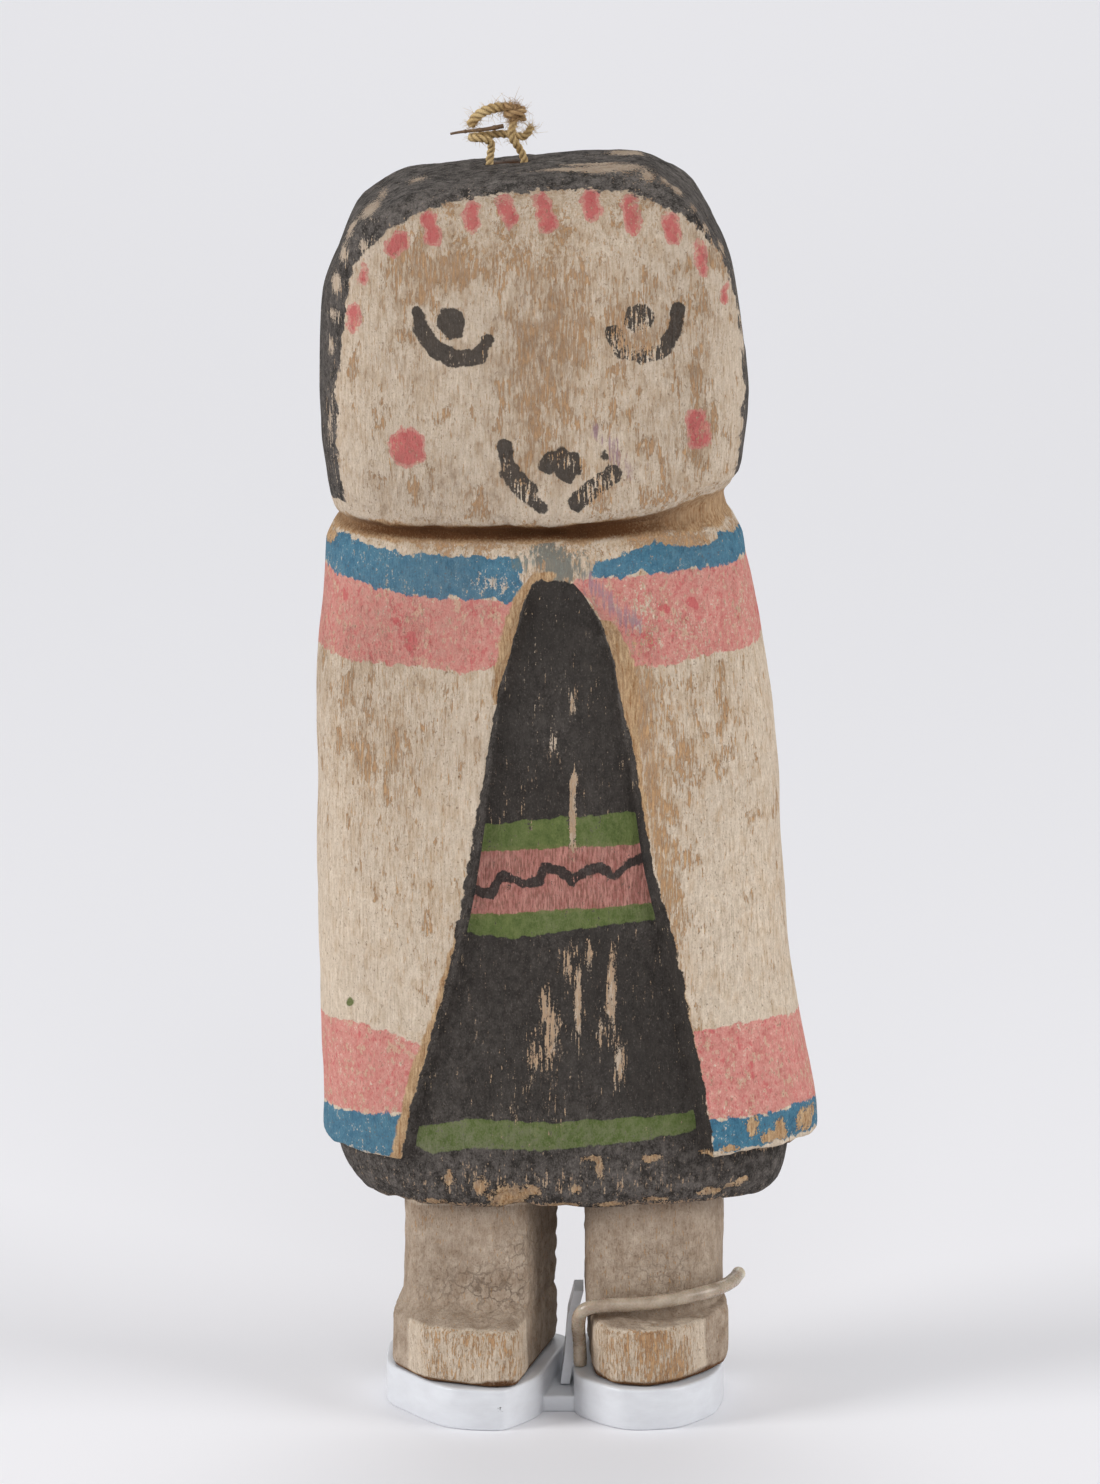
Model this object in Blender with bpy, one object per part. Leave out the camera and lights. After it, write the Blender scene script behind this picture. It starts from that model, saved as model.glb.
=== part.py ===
"""A small carved and painted kachina doll on its museum mount.

The doll is one piece of wood: a head with flat knife cuts, a cape that opens in a V over
the dress, two legs and two feet. A loop of twine with a twig in it is threaded through the
top of the head. The doll stands on a white metal mount with an upright and a sleeved wire
clip. Metres, +Z up, the face looks along -Y, +X is to the viewer's right.
"""

import math

import bmesh
import bpy
import numpy as np
from mathutils import Vector

MM = 0.001

# The doll's height from sole to head top. The carving is measured in shares of it.
DOLL_HEIGHT = 183.0 * MM
SHARES_TO_HEIGHT = 183.0
SHARE = DOLL_HEIGHT / SHARES_TO_HEIGHT

# Mount: two thick lobes under the feet, a thin bridge between them, an upright and a wire.
LOBE_THICKNESS = 6.35 * MM
LOBE_CHAMFER = 0.3 * MM
BRIDGE_THICKNESS = 2.5 * MM
BRIDGE_FRONT = -12.0 * MM
BRIDGE_BACK = 15.5 * MM
POST_TOP = 17.5 * MM
POST_THICKNESS = 1.4 * MM
POST_DEPTH = 6.0 * MM
WIRE_DIAMETER = 2.1 * MM

# Twine and twig.
TWINE_DIAMETER = 1.15 * MM
TWINE_POINT_SPACING = 1.2 * MM
KNOT_SWELL = 1.05
TWIG_BUTT_DIAMETER = 0.7 * MM
TWIG_TIP_DIAMETER = 0.36 * MM
BORE_CLEARANCE = 0.3 * MM

# Air between pieces that touch.
GAP = 0.3 * MM

# Heights on the doll, in shares above the sole.
HEM = 26.4
CAPE_BOTTOM = 34.1
SHOULDER = 126.5
NECK = 130.3
CHIN_ROUND_TOP = 135.0
HEAD_MIDDLE = 156.0
NECK_TILT = 0.05

# How far the dress lies inside the cape, and how deep the knife cut at the neck goes.
CAPE_STEP = 2.0
CAPE_STEP_RIGHT = 4.0
CAPE_BOTTOM_RISE = 0.07
CAPE_BOTTOM_RISE_FROM = 20.0
PANEL_FADE = 7.0
NECK_CUT_SIDE = 0.55

HEM_POWER = 2.4
BODY_POWER = 2.7
HEAD_POWER = 3.2
FACET_SHARPNESS = 70.0

# (height, left, right, front, back) of the cape and head before any step or cut.
TRUNK = (
    (26.4, 30.8, 39.0, 19.0, 17.6),
    (30.5, 33.3, 40.0, 19.3, 17.8),
    (34.1, 34.1, 40.4, 19.4, 18.0),
    (40.6, 34.1, 40.1, 19.5, 18.2),
    (50.0, 34.5, 38.4, 19.4, 18.4),
    (62.5, 34.8, 36.3, 19.3, 18.5),
    (78.1, 35.1, 35.0, 19.1, 18.5),
    (93.6, 34.9, 34.1, 18.9, 18.4),
    (102.8, 35.0, 33.0, 18.7, 18.2),
    (112.0, 34.5, 31.5, 18.4, 17.9),
    (118.2, 33.8, 30.5, 18.1, 17.6),
    (124.3, 33.4, 29.2, 17.8, 17.2),
    (129.0, 33.0, 28.3, 17.6, 17.0),
    (132.0, 32.6, 27.5, 18.1, 17.6),
    (136.5, 33.1, 28.2, 18.5, 18.4),
    (142.5, 33.8, 29.0, 18.7, 18.9),
    (148.0, 34.0, 29.4, 18.8, 19.1),
    (156.0, 33.9, 28.9, 18.8, 19.2),
)

# The cape's two edges beside the dress panel: (height, distance left or right of the
# middle, width of the cut wall between the edge and the panel).
PANEL_LEFT = (
    (34.0, 22.6, 1.2),
    (47.0, 19.9, 0.9),
    (59.5, 16.2, 0.8),
    (75.0, 12.6, 0.8),
    (90.0, 10.3, 0.8),
    (107.0, 7.8, 0.8),
    (117.5, 5.1, 0.9),
    (121.0, 4.1, 0.9),
    (124.5, 2.2, 0.8),
    (130.0, 5.0, 0.8),
    (136.0, 11.0, 0.8),
    (148.0, 15.0, 0.8),
)
PANEL_RIGHT = (
    (34.0, 24.4, 0.8),
    (45.5, 22.7, 0.8),
    (56.5, 20.5, 0.8),
    (67.0, 18.2, 0.8),
    (79.5, 15.3, 0.9),
    (90.0, 13.9, 1.1),
    (102.5, 12.3, 1.6),
    (113.0, 10.9, 2.1),
    (120.5, 7.2, 1.9),
    (124.5, 3.6, 1.0),
    (130.0, 5.0, 0.8),
    (136.0, 11.0, 0.8),
    (148.0, 15.0, 0.8),
)
PANEL_TOP = 124.0
HEM_COLUMN_GAP = 0.02

# Knife cuts on the head. Each is a line in a side view: (across, height) twice.
CUTS_ACROSS_X = (
    ((-21.5, 180.1), (-3.0, 182.6)),
    ((-3.0, 182.6), (14.0, 183.3)),
    ((14.0, 183.3), (21.1, 178.7)),
    ((21.1, 178.7), (26.6, 169.6)),
    ((26.6, 169.6), (29.2, 156.0)),
    ((-28.9, 175.7), (-21.5, 180.1)),
    ((-33.2, 166.0), (-28.9, 175.7)),
)
CUTS_ACROSS_Y = (
    ((-18.4, 172.0), (-15.6, 179.4)),
    ((-15.6, 179.4), (-9.5, 182.8)),
    ((12.5, 182.9), (17.0, 178.6)),
    ((17.0, 178.6), (19.2, 169.0)),
)

# Heights of the rings of the trunk, each with how far it is drawn in at the front.
HEM_RINGS = ((26.4, 2.6), (26.7, 1.1), (27.6, 0.3), (29.0, 0.0), (31.5, 0.0))
CAPE_RINGS = (34.9, 37.0, 41.0, 46.0, 52.0, 58.5, 65.5, 73.0, 81.0, 89.0, 97.0)
CHEST_RINGS = (104.5, 111.0, 116.0, 119.5, 122.0, 124.0)
NECK_RINGS = (
    (126.5, 0.0),
    (127.5, 0.6),
    (128.5, 1.4),
    (129.4, 2.4),
    (130.3, 4.0),
    (130.7, 3.2),
    (131.0, 1.5),
    (131.8, 0.6),
    (133.2, 0.1),
    (135.0, 0.0),
)
FACE_RINGS = (139.0, 143.5, 149.0)
CROWN_RINGS = 15
PANEL_COLUMNS = 12
CLOAK_COLUMNS = 52

# Outlines of the feet and legs, corner for corner, in shares, from above: the outer back
# corner first, then round the front to the inner back corner.
LEFT_FOOT = (
    (-22.4, 7.0),
    (-23.9, -8.9),
    (-18.9, -17.2),
    (-9.0, -21.0),
    (-5.0, -20.4),
    (1.2, 7.0),
)
LEFT_LEG = (
    (-21.6, 7.0),
    (-22.2, -9.0),
    (-20.4, -12.6),
    (-9.0, -13.2),
    (-3.5, -13.0),
    (1.2, 7.0),
)
RIGHT_FOOT = (
    (26.6, 7.0),
    (26.9, -7.4),
    (24.0, -12.6),
    (19.6, -17.9),
    (14.8, -20.6),
    (9.6, -19.3),
    (6.6, -14.4),
    (5.6, 7.0),
)
RIGHT_LEG = (
    (26.2, 7.0),
    (26.4, -1.0),
    (25.0, -6.0),
    (21.5, -10.2),
    (16.0, -12.6),
    (10.0, -13.1),
    (5.6, -11.4),
    (5.4, 7.0),
)
CORNER_CUT = 1.3
TOE_TOP = 8.7
INSTEP_TOP = {"left": 10.6, "right": 9.3}
LEG_INTO_BODY = 4.0
ANKLE = 18.0

# Outlines of the mount's lobes, seen from above, in shares because they follow the feet.
# They are saw cuts, so straight.
LEFT_LOBE = (
    (-25.0, -7.3),
    (-17.7, -18.2),
    (-14.2, -21.0),
    (-7.9, -21.9),
    (-6.2, -21.0),
    (-1.7, -14.9),
    (2.6, 4.0),
    (2.4, 8.0),
    (-5.0, 10.0),
    (-20.0, 9.4),
    (-24.6, 5.6),
)
RIGHT_LOBE = (
    (3.6, -13.7),
    (8.9, -19.8),
    (12.5, -21.8),
    (19.6, -20.5),
    (25.0, -13.6),
    (26.4, -6.7),
    (26.6, 5.8),
    (23.5, 9.6),
    (9.0, 10.0),
    (4.4, 8.0),
    (3.6, 2.0),
)
BRIDGE_LEFT = -6.0 * MM
BRIDGE_RIGHT = 9.0 * MM

# The upright leans towards the right leg's inner side. Each station has a part of the
# upright's height and the x of its right face, in shares.
POST_RIGHT = ((0.0, 3.0), (0.30, 3.6), (0.72, 4.1), (1.0, 5.1))
POST_FRONT = -6.6

# Route of the wire clip, in shares, from the right lobe over the toe to its free end.
WIRE_ROUTE = (
    (4.6, -9.0, 0.0),
    (4.5, -9.6, 3.4),
    (4.3, -12.0, 7.2),
    (4.7, -14.2, 9.7),
    (6.2, -15.0, 10.8),
    (8.6, -15.2, 11.2),
    (12.4, -15.2, 11.3),
    (17.0, -14.6, 11.6),
    (21.7, -12.7, 12.0),
    (25.3, -9.9, 12.2),
    (27.6, -5.9, 12.2),
    (28.9, -1.7, 12.4),
)
WIRE_POINTS = 44

# Route of the twine in shares: (x, y, height above the sole), tail tip first.
TWINE_TAIL = (
    (-2.7, 7.6, 187.1),
    (-3.7, 7.6, 185.7),
    (-5.0, 7.6, 185.7),
    (-7.2, 7.5, 186.0),
    (-9.4, 7.4, 185.8),
    (-11.0, 7.0, 185.7),
    (-11.7, 6.1, 185.7),
    (-11.0, 5.2, 185.7),
    (-9.7, 5.0, 185.6),
    (-8.8, 5.4, 184.9),
    (-8.8, 5.9, 183.6),
)
TWINE_LEFT_HOLE = (-9.0, 6.0)
TWINE_RIGHT_HOLE = (-3.9, 6.0)
TWINE_HOLE_DEPTH = 3.0
TWINE_BEND_SHARE = 0.3
TWINE_RISE = (
    (-4.6, 5.8, 184.1),
    (-5.7, 5.5, 185.9),
    (-5.5, 5.6, 187.6),
    (-5.2, 6.0, 189.6),
    (-7.4, 6.2, 190.2),
    (-9.9, 6.2, 189.5),
    (-11.4, 6.2, 188.2),
    (-11.7, 6.2, 187.3),
)
KNOT_AT = (-5.2, 6.0, 189.6)
KNOT_REACH = 1.5
TWIG_TIP = (-14.8, 5.4, 186.3)
TWIG_BUTT = (-6.9, 6.4, 187.3)


def smooth_along(stations, height, column=1):
    """A smooth curve through (height, value, ...) stations, flat beyond the ends."""
    heights = np.array([station[0] for station in stations])
    values = np.array([station[column] for station in stations])
    slopes = np.gradient(values, heights)
    height = np.clip(height, heights[0], heights[-1])
    index = np.clip(np.searchsorted(heights, height) - 1, 0, len(heights) - 2)
    span = heights[index + 1] - heights[index]
    t = (height - heights[index]) / span
    before = values[index] * (1 + 2 * t) * (1 - t) ** 2
    before = before + slopes[index] * span * t * (1 - t) ** 2
    after = values[index + 1] * t * t * (3 - 2 * t)
    after = after - slopes[index + 1] * span * t * t * (1 - t)
    return before + after


def section_power(height):
    """The hem's section is the roundest and the head's the squarest."""
    heights = (HEM, CAPE_BOTTOM, SHOULDER, CHIN_ROUND_TOP)
    return np.interp(height, heights, (HEM_POWER, BODY_POWER, BODY_POWER, HEAD_POWER))


def section_radius(angle, height):
    """Distance from the axis to the uncut surface; angle 0 is the front, + is right."""
    left = smooth_along(TRUNK, height, 1)
    right = smooth_along(TRUNK, height, 2)
    front = smooth_along(TRUNK, height, 3)
    back = smooth_along(TRUNK, height, 4)
    side = np.where(np.sin(angle) < 0, left, right)
    depth = np.where(np.cos(angle) > 0, front, back)
    power = section_power(height)
    across = np.abs(np.sin(angle) / side) ** power
    along = np.abs(np.cos(angle) / depth) ** power
    return (across + along) ** (-1 / power)


def dress_depth(angle, height):
    """How far the dress lies inside the cape: more on the right, nothing over the panel."""
    right = np.maximum(0, np.sin(angle)) ** 3
    fade = np.clip((PANEL_TOP - height) / PANEL_FADE, 0, 1)
    return (CAPE_STEP + (CAPE_STEP_RIGHT - CAPE_STEP) * right) * fade


def panel_edge(height, side):
    """Angles of the cape's edge beside the panel and of the foot of its wall."""
    stations = PANEL_RIGHT if side > 0 else PANEL_LEFT
    across = smooth_along(stations, height, 1)
    wall = smooth_along(stations, height, 2)
    angle = np.linspace(0, 1.3, 261)
    cape = section_radius(side * angle, height)
    dress = cape - dress_depth(side * angle, height)
    edge = np.interp(across, cape * np.sin(angle), angle)
    foot = np.interp(across - wall, dress * np.sin(angle), angle)
    return side * edge, side * foot


def column_angles(height, columns, dress_all_round=False):
    """The ring's angles: the dress panel's columns first, then the cape's round the back."""
    panel_columns, cloak_columns = columns
    left_edge, left_foot = panel_edge(height, -1)
    right_edge, right_foot = panel_edge(height, 1)
    if dress_all_round:
        left_edge, right_edge = left_foot - HEM_COLUMN_GAP, right_foot + HEM_COLUMN_GAP
    panel = np.linspace(left_foot, right_foot, panel_columns + 1)
    cloak = np.linspace(right_edge, left_edge + 2 * math.pi, cloak_columns + 1)
    return np.concatenate([panel, cloak])


def ring(angle, radius, height):
    """Points of one ring, in shares."""
    return np.stack([radius * np.sin(angle), -radius * np.cos(angle), height], axis=1)


def trunk_ring(height, drawn_in, dress_all_round, columns):
    """A level ring of the trunk. The dress shows in the panel, and all round at the hem."""
    angle = column_angles(height, columns, dress_all_round)
    radius = section_radius(angle, height)
    shows_dress = (np.arange(len(angle)) <= columns[0]) | dress_all_round
    facing = np.clip(np.cos(angle), 0, 1) ** 2
    share = NECK_CUT_SIDE + (1 - NECK_CUT_SIDE) * facing if height > SHOULDER else 1
    radius = radius - np.where(shows_dress, dress_depth(angle, height), 0) - drawn_in * share
    across = radius * np.sin(angle)
    near_neck = np.clip(1 - abs(height - NECK) / (NECK - PANEL_TOP), 0, 1)
    tilt = NECK_TILT * near_neck * np.maximum(0, across)
    near_bottom = np.clip(2 - abs(height - CAPE_BOTTOM) / 4, 0, 1)
    outer = np.maximum(0, np.abs(across) - CAPE_BOTTOM_RISE_FROM)
    return ring(angle, radius, height + tilt + CAPE_BOTTOM_RISE * near_bottom * outer)


def crown_radius(directions):
    """Reach from the head's middle to its sides and its knife cuts, along directions."""
    flat = np.hypot(directions[:, 0], directions[:, 1])
    angle = np.arctan2(directions[:, 0], -directions[:, 1])
    side = section_radius(angle, HEAD_MIDDLE) / np.maximum(flat, 1e-9)
    total = side**-FACET_SHARPNESS
    for axis, cuts in ((0, CUTS_ACROSS_X), (1, CUTS_ACROSS_Y)):
        for start, end in cuts:
            run, rise = end[0] - start[0], end[1] - start[1]
            length = math.hypot(run, rise)
            normal = (-rise / length, run / length)
            reach = normal[0] * start[0] + normal[1] * (start[1] - HEAD_MIDDLE)
            facing = normal[0] * directions[:, axis] + normal[1] * directions[:, 2]
            total = total + (np.maximum(facing, 1e-9) / reach) ** FACET_SHARPNESS
    return total ** (-1 / FACET_SHARPNESS)


def crown_ring(lift, columns):
    """A ring of the head above its middle, on a cone of rays lifted by this angle."""
    angle = column_angles(HEAD_MIDDLE, columns)
    flat = math.cos(lift)
    directions = np.stack(
        [np.sin(angle) * flat, -np.cos(angle) * flat, np.full(len(angle), math.sin(lift))],
        axis=1,
    )
    points = directions * crown_radius(directions)[:, None]
    points[:, 2] += HEAD_MIDDLE
    return points


def trunk_rings(columns):
    """All rings from the hem to the crown, the bottom one first."""
    rings = [trunk_ring(height, inset, True, columns) for height, inset in HEM_RINGS]
    rings.append(trunk_ring(CAPE_BOTTOM, 0, True, columns))
    rings.append(trunk_ring(CAPE_BOTTOM + 0.1, 0, False, columns))
    for height in CAPE_RINGS + CHEST_RINGS:
        rings.append(trunk_ring(height, 0, False, columns))
    rings += [trunk_ring(height, inset, False, columns) for height, inset in NECK_RINGS]
    rings += [trunk_ring(height, 0, False, columns) for height in FACE_RINGS]
    for step in range(CROWN_RINGS):
        rings.append(crown_ring(step / CROWN_RINGS * math.pi / 2, columns))
    return rings


def rounded(outline, cut):
    """The outline with each corner cut by a short arc of three points."""
    points = []
    for index, corner in enumerate(outline):
        here = Vector(corner)
        before = (Vector(outline[index - 1]) - here)
        after = (Vector(outline[(index + 1) % len(outline)]) - here)
        start = here + before.normalized() * min(cut, before.length / 3)
        end = here + after.normalized() * min(cut, after.length / 3)
        middle = (start + end) / 4 + here / 2
        points += [start, middle, end]
    return np.array(points)


def loft(rings, bottom_point=None, top_point=None):
    """Vertices and faces of rings joined one above another and closed at both ends."""
    count = len(rings[0])
    vertices = np.concatenate(rings)
    faces = []
    for level in range(len(rings) - 1):
        for index in range(count):
            after = (index + 1) % count
            low, high = level * count, (level + 1) * count
            faces.append((low + index, low + after, high + after, high + index))
    low, high = 0, (len(rings) - 1) * count
    ends = [rings[0].mean(axis=0) if bottom_point is None else bottom_point]
    ends.append(rings[-1].mean(axis=0) if top_point is None else top_point)
    bottom, top = len(vertices), len(vertices) + 1
    for index in range(count):
        after = (index + 1) % count
        faces.append((low + after, low + index, bottom))
        faces.append((high + index, high + after, top))
    return np.concatenate([vertices, ends]), faces


def material(name, colour, roughness, metallic=0.0):
    made = bpy.data.materials.new(name)
    made.use_nodes = True
    shader = made.node_tree.nodes["Principled BSDF"]
    shader.inputs["Base Color"].default_value = (*colour, 1.0)
    shader.inputs["Roughness"].default_value = roughness
    shader.inputs["Metallic"].default_value = metallic
    made.diffuse_color = (*colour, 1.0)
    return made


def mesh_object(name, vertices, faces, finish, parent):
    """One object from plain points and faces, with its faces turned out."""
    mesh = bpy.data.meshes.new(name)
    mesh.from_pydata([tuple(map(float, point)) for point in vertices], [], faces)
    work = bmesh.new()
    work.from_mesh(mesh)
    bmesh.ops.recalc_face_normals(work, faces=work.faces)
    work.to_mesh(mesh)
    work.free()
    mesh.materials.append(finish)
    mesh.shade_smooth()
    mesh.set_sharp_from_angle(angle=math.radians(35))
    made = bpy.data.objects.new(name, mesh)
    made.parent = parent
    bpy.context.scene.collection.objects.link(made)
    return made


def helper(made):
    """Marks a body that only cuts or joins."""
    made.hide_render = True
    made.display_type = "WIRE"
    return made


def boolean(target, other, operation):
    modifier = target.modifiers.new(f"{operation.lower()}_{other.name}", "BOOLEAN")
    modifier.operation = operation
    modifier.solver = "EXACT"
    modifier.object = other


def tube_object(name, points, radii, finish, parent):
    """A cord or wire: a poly curve through the points, round, with filled caps."""
    curve = bpy.data.curves.new(name, "CURVE")
    curve.dimensions = "3D"
    curve.bevel_depth = max(radii)
    curve.bevel_resolution = 2
    curve.use_fill_caps = True
    spline = curve.splines.new("POLY")
    spline.points.add(len(points) - 1)
    for point, place, radius in zip(spline.points, points, radii):
        point.co = (*map(float, place), 1.0)
        point.radius = radius / max(radii)
    curve.materials.append(finish)
    made = bpy.data.objects.new(name, curve)
    made.parent = parent
    bpy.context.scene.collection.objects.link(made)
    return made


def smooth_route(points, count):
    """Evenly spaced points on a smooth curve through the route's own points."""
    route = np.array(points, dtype=float)
    padded = np.vstack([2 * route[0] - route[1], route, 2 * route[-1] - route[-2]])
    dense = []
    for index in range(len(route) - 1):
        p0, p1, p2, p3 = padded[index : index + 4]
        for t in np.linspace(0, 1, 24, endpoint=False):
            dense.append(
                0.5
                * (
                    2 * p1
                    + (p2 - p0) * t
                    + (2 * p0 - 5 * p1 + 4 * p2 - p3) * t**2
                    + (3 * p1 - p0 - 3 * p2 + p3) * t**3
                )
            )
    dense.append(route[-1])
    dense = np.array(dense)
    lengths = np.concatenate([[0], np.cumsum(np.linalg.norm(np.diff(dense, axis=0), axis=1))])
    wanted = np.linspace(0, lengths[-1], count)
    return np.stack([np.interp(wanted, lengths, dense[:, axis]) for axis in range(3)], axis=1)


def leg_and_foot(name, side, foot, leg, finish, parent):
    """A foot with a flat sole that narrows over the instep into its leg."""
    foot_outline = rounded(foot, CORNER_CUT)
    leg_outline = rounded(leg, CORNER_CUT)
    middle = foot_outline.mean(axis=0)
    instep = INSTEP_TOP[side]
    levels = (
        (0.0, middle + (foot_outline - middle) * 0.97),
        (0.6, foot_outline),
        (TOE_TOP - 0.7, foot_outline),
        (TOE_TOP, middle + (foot_outline - middle) * 0.965),
        (instep - 0.4, foot_outline * 0.12 + leg_outline * 0.88),
        (instep + 0.9, leg_outline),
        (ANKLE, leg_outline),
        (HEM + LEG_INTO_BODY, leg_outline),
    )
    rings = [
        np.column_stack([outline, np.full(len(outline), height)]) for height, outline in levels
    ]
    vertices, faces = loft(rings)
    return helper(mesh_object(name, vertices * SHARE, faces, finish, parent))


def head_top(x):
    """Height of the head's flat top at this x, in shares."""
    start, end = CUTS_ACROSS_X[0]
    return start[1] + (x - start[0]) * (end[1] - start[1]) / (end[0] - start[0])


def channel_route():
    """Where the twine runs inside the head, from just over one hole to over the other."""
    (left, y), (right, _) = TWINE_LEFT_HOLE, TWINE_RIGHT_HOLE
    span = right - left
    floor = head_top((left + right) / 2) - TWINE_HOLE_DEPTH
    return (
        (left, y, head_top(left)),
        (left + span * 0.06, y, floor + TWINE_HOLE_DEPTH * 0.4),
        (left + span * TWINE_BEND_SHARE, y, floor + 0.2),
        (right - span * TWINE_BEND_SHARE, y, floor + 0.2),
        (right - span * 0.02, y, floor + TWINE_HOLE_DEPTH * 0.4),
        (right, y, head_top(right)),
    )


def build_doll(finish, parent):
    """The carved doll: trunk and head joined to both legs, with the twine's channel."""
    columns = (PANEL_COLUMNS, CLOAK_COLUMNS)
    top = np.array([[0.0, 0.0, 1.0]])
    crown = np.array([0.0, 0.0, HEAD_MIDDLE + crown_radius(top)[0]])
    vertices, faces = loft(trunk_rings(columns), top_point=crown)
    doll = mesh_object("doll", vertices * SHARE, faces, finish, parent)
    left = leg_and_foot("left_leg_join", "left", LEFT_FOOT, LEFT_LEG, finish, parent)
    right = leg_and_foot("right_leg_join", "right", RIGHT_FOOT, RIGHT_LEG, finish, parent)
    boolean(doll, left, "UNION")
    boolean(doll, right, "UNION")
    route = [TWINE_TAIL[-1], *channel_route(), TWINE_RISE[0]]
    bore = smooth_route(np.array(route) * SHARE, 20)
    radius = TWINE_DIAMETER / 2 + BORE_CLEARANCE
    boolean(doll, helper(tube_mesh("twine_bore", bore, radius, 10, finish, parent)), "DIFFERENCE")
    sole = LOBE_THICKNESS + GAP
    for made in (doll, left, right, bpy.data.objects["twine_bore"]):
        made.location.z = sole
    return doll


def tube_mesh(name, points, radius, sides, finish, parent):
    """A closed tube of level-twist rings along the points."""
    tangents = np.gradient(points, axis=0)
    tangents /= np.linalg.norm(tangents, axis=1)[:, None]
    up = np.array([0.0, 1.0, 0.0])
    rings = []
    for place, tangent in zip(points, tangents):
        first = np.cross(tangent, up)
        first /= np.linalg.norm(first)
        second = np.cross(tangent, first)
        turn = np.arange(sides) * 2 * math.pi / sides
        spokes = np.outer(np.cos(turn), first) + np.outer(np.sin(turn), second)
        rings.append(place + radius * spokes)
    vertices, faces = loft(rings)
    return mesh_object(name, vertices, faces, finish, parent)


def plate(name, outline, thickness, finish, parent):
    """A sawn plate with small chamfers, standing on its underside."""
    shape = np.array(outline, dtype=float)
    middle = shape.mean(axis=0)
    reach = np.linalg.norm(shape - middle, axis=1).max()
    drawn = middle + (shape - middle) * (1 - LOBE_CHAMFER / reach)
    levels = ((0.0, drawn), (LOBE_CHAMFER, shape), (thickness - LOBE_CHAMFER, shape))
    levels += ((thickness, drawn),)
    rings = [np.column_stack([part, np.full(len(part), height)]) for height, part in levels]
    vertices, faces = loft(rings)
    return mesh_object(name, vertices, faces, finish, parent)


def build_mount(finish, parent):
    """The two lobes joined by the thin bridge, one painted piece."""
    left = plate("mount_base", np.array(LEFT_LOBE) * SHARE, LOBE_THICKNESS, finish, parent)
    right = plate("right_lobe_join", np.array(RIGHT_LOBE) * SHARE, LOBE_THICKNESS, finish, parent)
    corners = (
        (BRIDGE_LEFT, BRIDGE_FRONT),
        (BRIDGE_RIGHT, BRIDGE_FRONT),
        (BRIDGE_RIGHT, BRIDGE_BACK - 4 * MM),
        (BRIDGE_RIGHT - 3 * MM, BRIDGE_BACK),
        (BRIDGE_LEFT + 3 * MM, BRIDGE_BACK),
        (BRIDGE_LEFT, BRIDGE_BACK - 4 * MM),
    )
    bridge = plate("bridge_join", corners, BRIDGE_THICKNESS, finish, parent)
    boolean(left, helper(right), "UNION")
    boolean(left, helper(bridge), "UNION")
    return left


def build_post(finish, parent):
    """The upright that leans on the right foot's inner side, standing on the bridge."""
    bottom = BRIDGE_THICKNESS + GAP
    front = POST_FRONT * SHARE
    back = front + POST_DEPTH
    rings = []
    for part, across in POST_RIGHT:
        height = bottom + (POST_TOP - bottom) * part
        right = across * SHARE
        left = right - POST_THICKNESS
        corners = ((left, front), (right, front), (right, back), (left, back))
        rings.append(np.array([(x, y, height) for x, y in corners]))
    vertices, faces = loft(rings)
    return mesh_object("mount_post", vertices, faces, finish, parent)


def build_wire(finish, parent):
    """The sleeved wire that rises from the right lobe and bends round the ankle."""
    points = smooth_route(np.array(WIRE_ROUTE) * SHARE, WIRE_POINTS)
    points[:, 2] += LOBE_THICKNESS + GAP
    radii = [WIRE_DIAMETER / 2] * len(points)
    return tube_object("wire_clip", points, radii, finish, parent)


def build_twine(finish, parent):
    """The twine: its tail, the turn round the twig, the channel, the knot and the arch."""
    route = np.array([*TWINE_TAIL, *channel_route(), *TWINE_RISE]) * SHARE
    spans = np.linalg.norm(np.diff(route, axis=0), axis=1)
    points = smooth_route(route, round(spans.sum() / TWINE_POINT_SPACING))
    knot = np.linalg.norm(points - np.array(KNOT_AT) * SHARE, axis=1)
    swell = np.maximum(0, 1 - knot / (KNOT_REACH * SHARE))
    radii = TWINE_DIAMETER / 2 * (1 + KNOT_SWELL * swell)
    points[:, 2] += LOBE_THICKNESS + GAP
    return tube_object("twine_loop", points, list(map(float, radii)), finish, parent)


def build_twig(finish, parent):
    """The thin stem caught in the twine, tapering to its free end."""
    points = smooth_route(np.array([TWIG_TIP, TWIG_BUTT]) * SHARE, 5)
    points[:, 2] += LOBE_THICKNESS + GAP
    radii = np.linspace(TWIG_TIP_DIAMETER, TWIG_BUTT_DIAMETER, len(points)) / 2
    return tube_object("twig", points, list(map(float, radii)), finish, parent)


def centre_over_origin(parent, standing):
    """Moves the parent so that the standing pieces' box has its bottom centre at 0."""
    bpy.context.view_layer.update()
    graph = bpy.context.evaluated_depsgraph_get()
    places = []
    for made in standing:
        evaluated = made.evaluated_get(graph)
        places += [evaluated.matrix_world @ point.co for point in evaluated.to_mesh().vertices]
        evaluated.to_mesh_clear()
    low, high = np.min(places, axis=0), np.max(places, axis=0)
    parent.location.x = -(low[0] + high[0]) / 2
    parent.location.y = -(low[1] + high[1]) / 2


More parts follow.
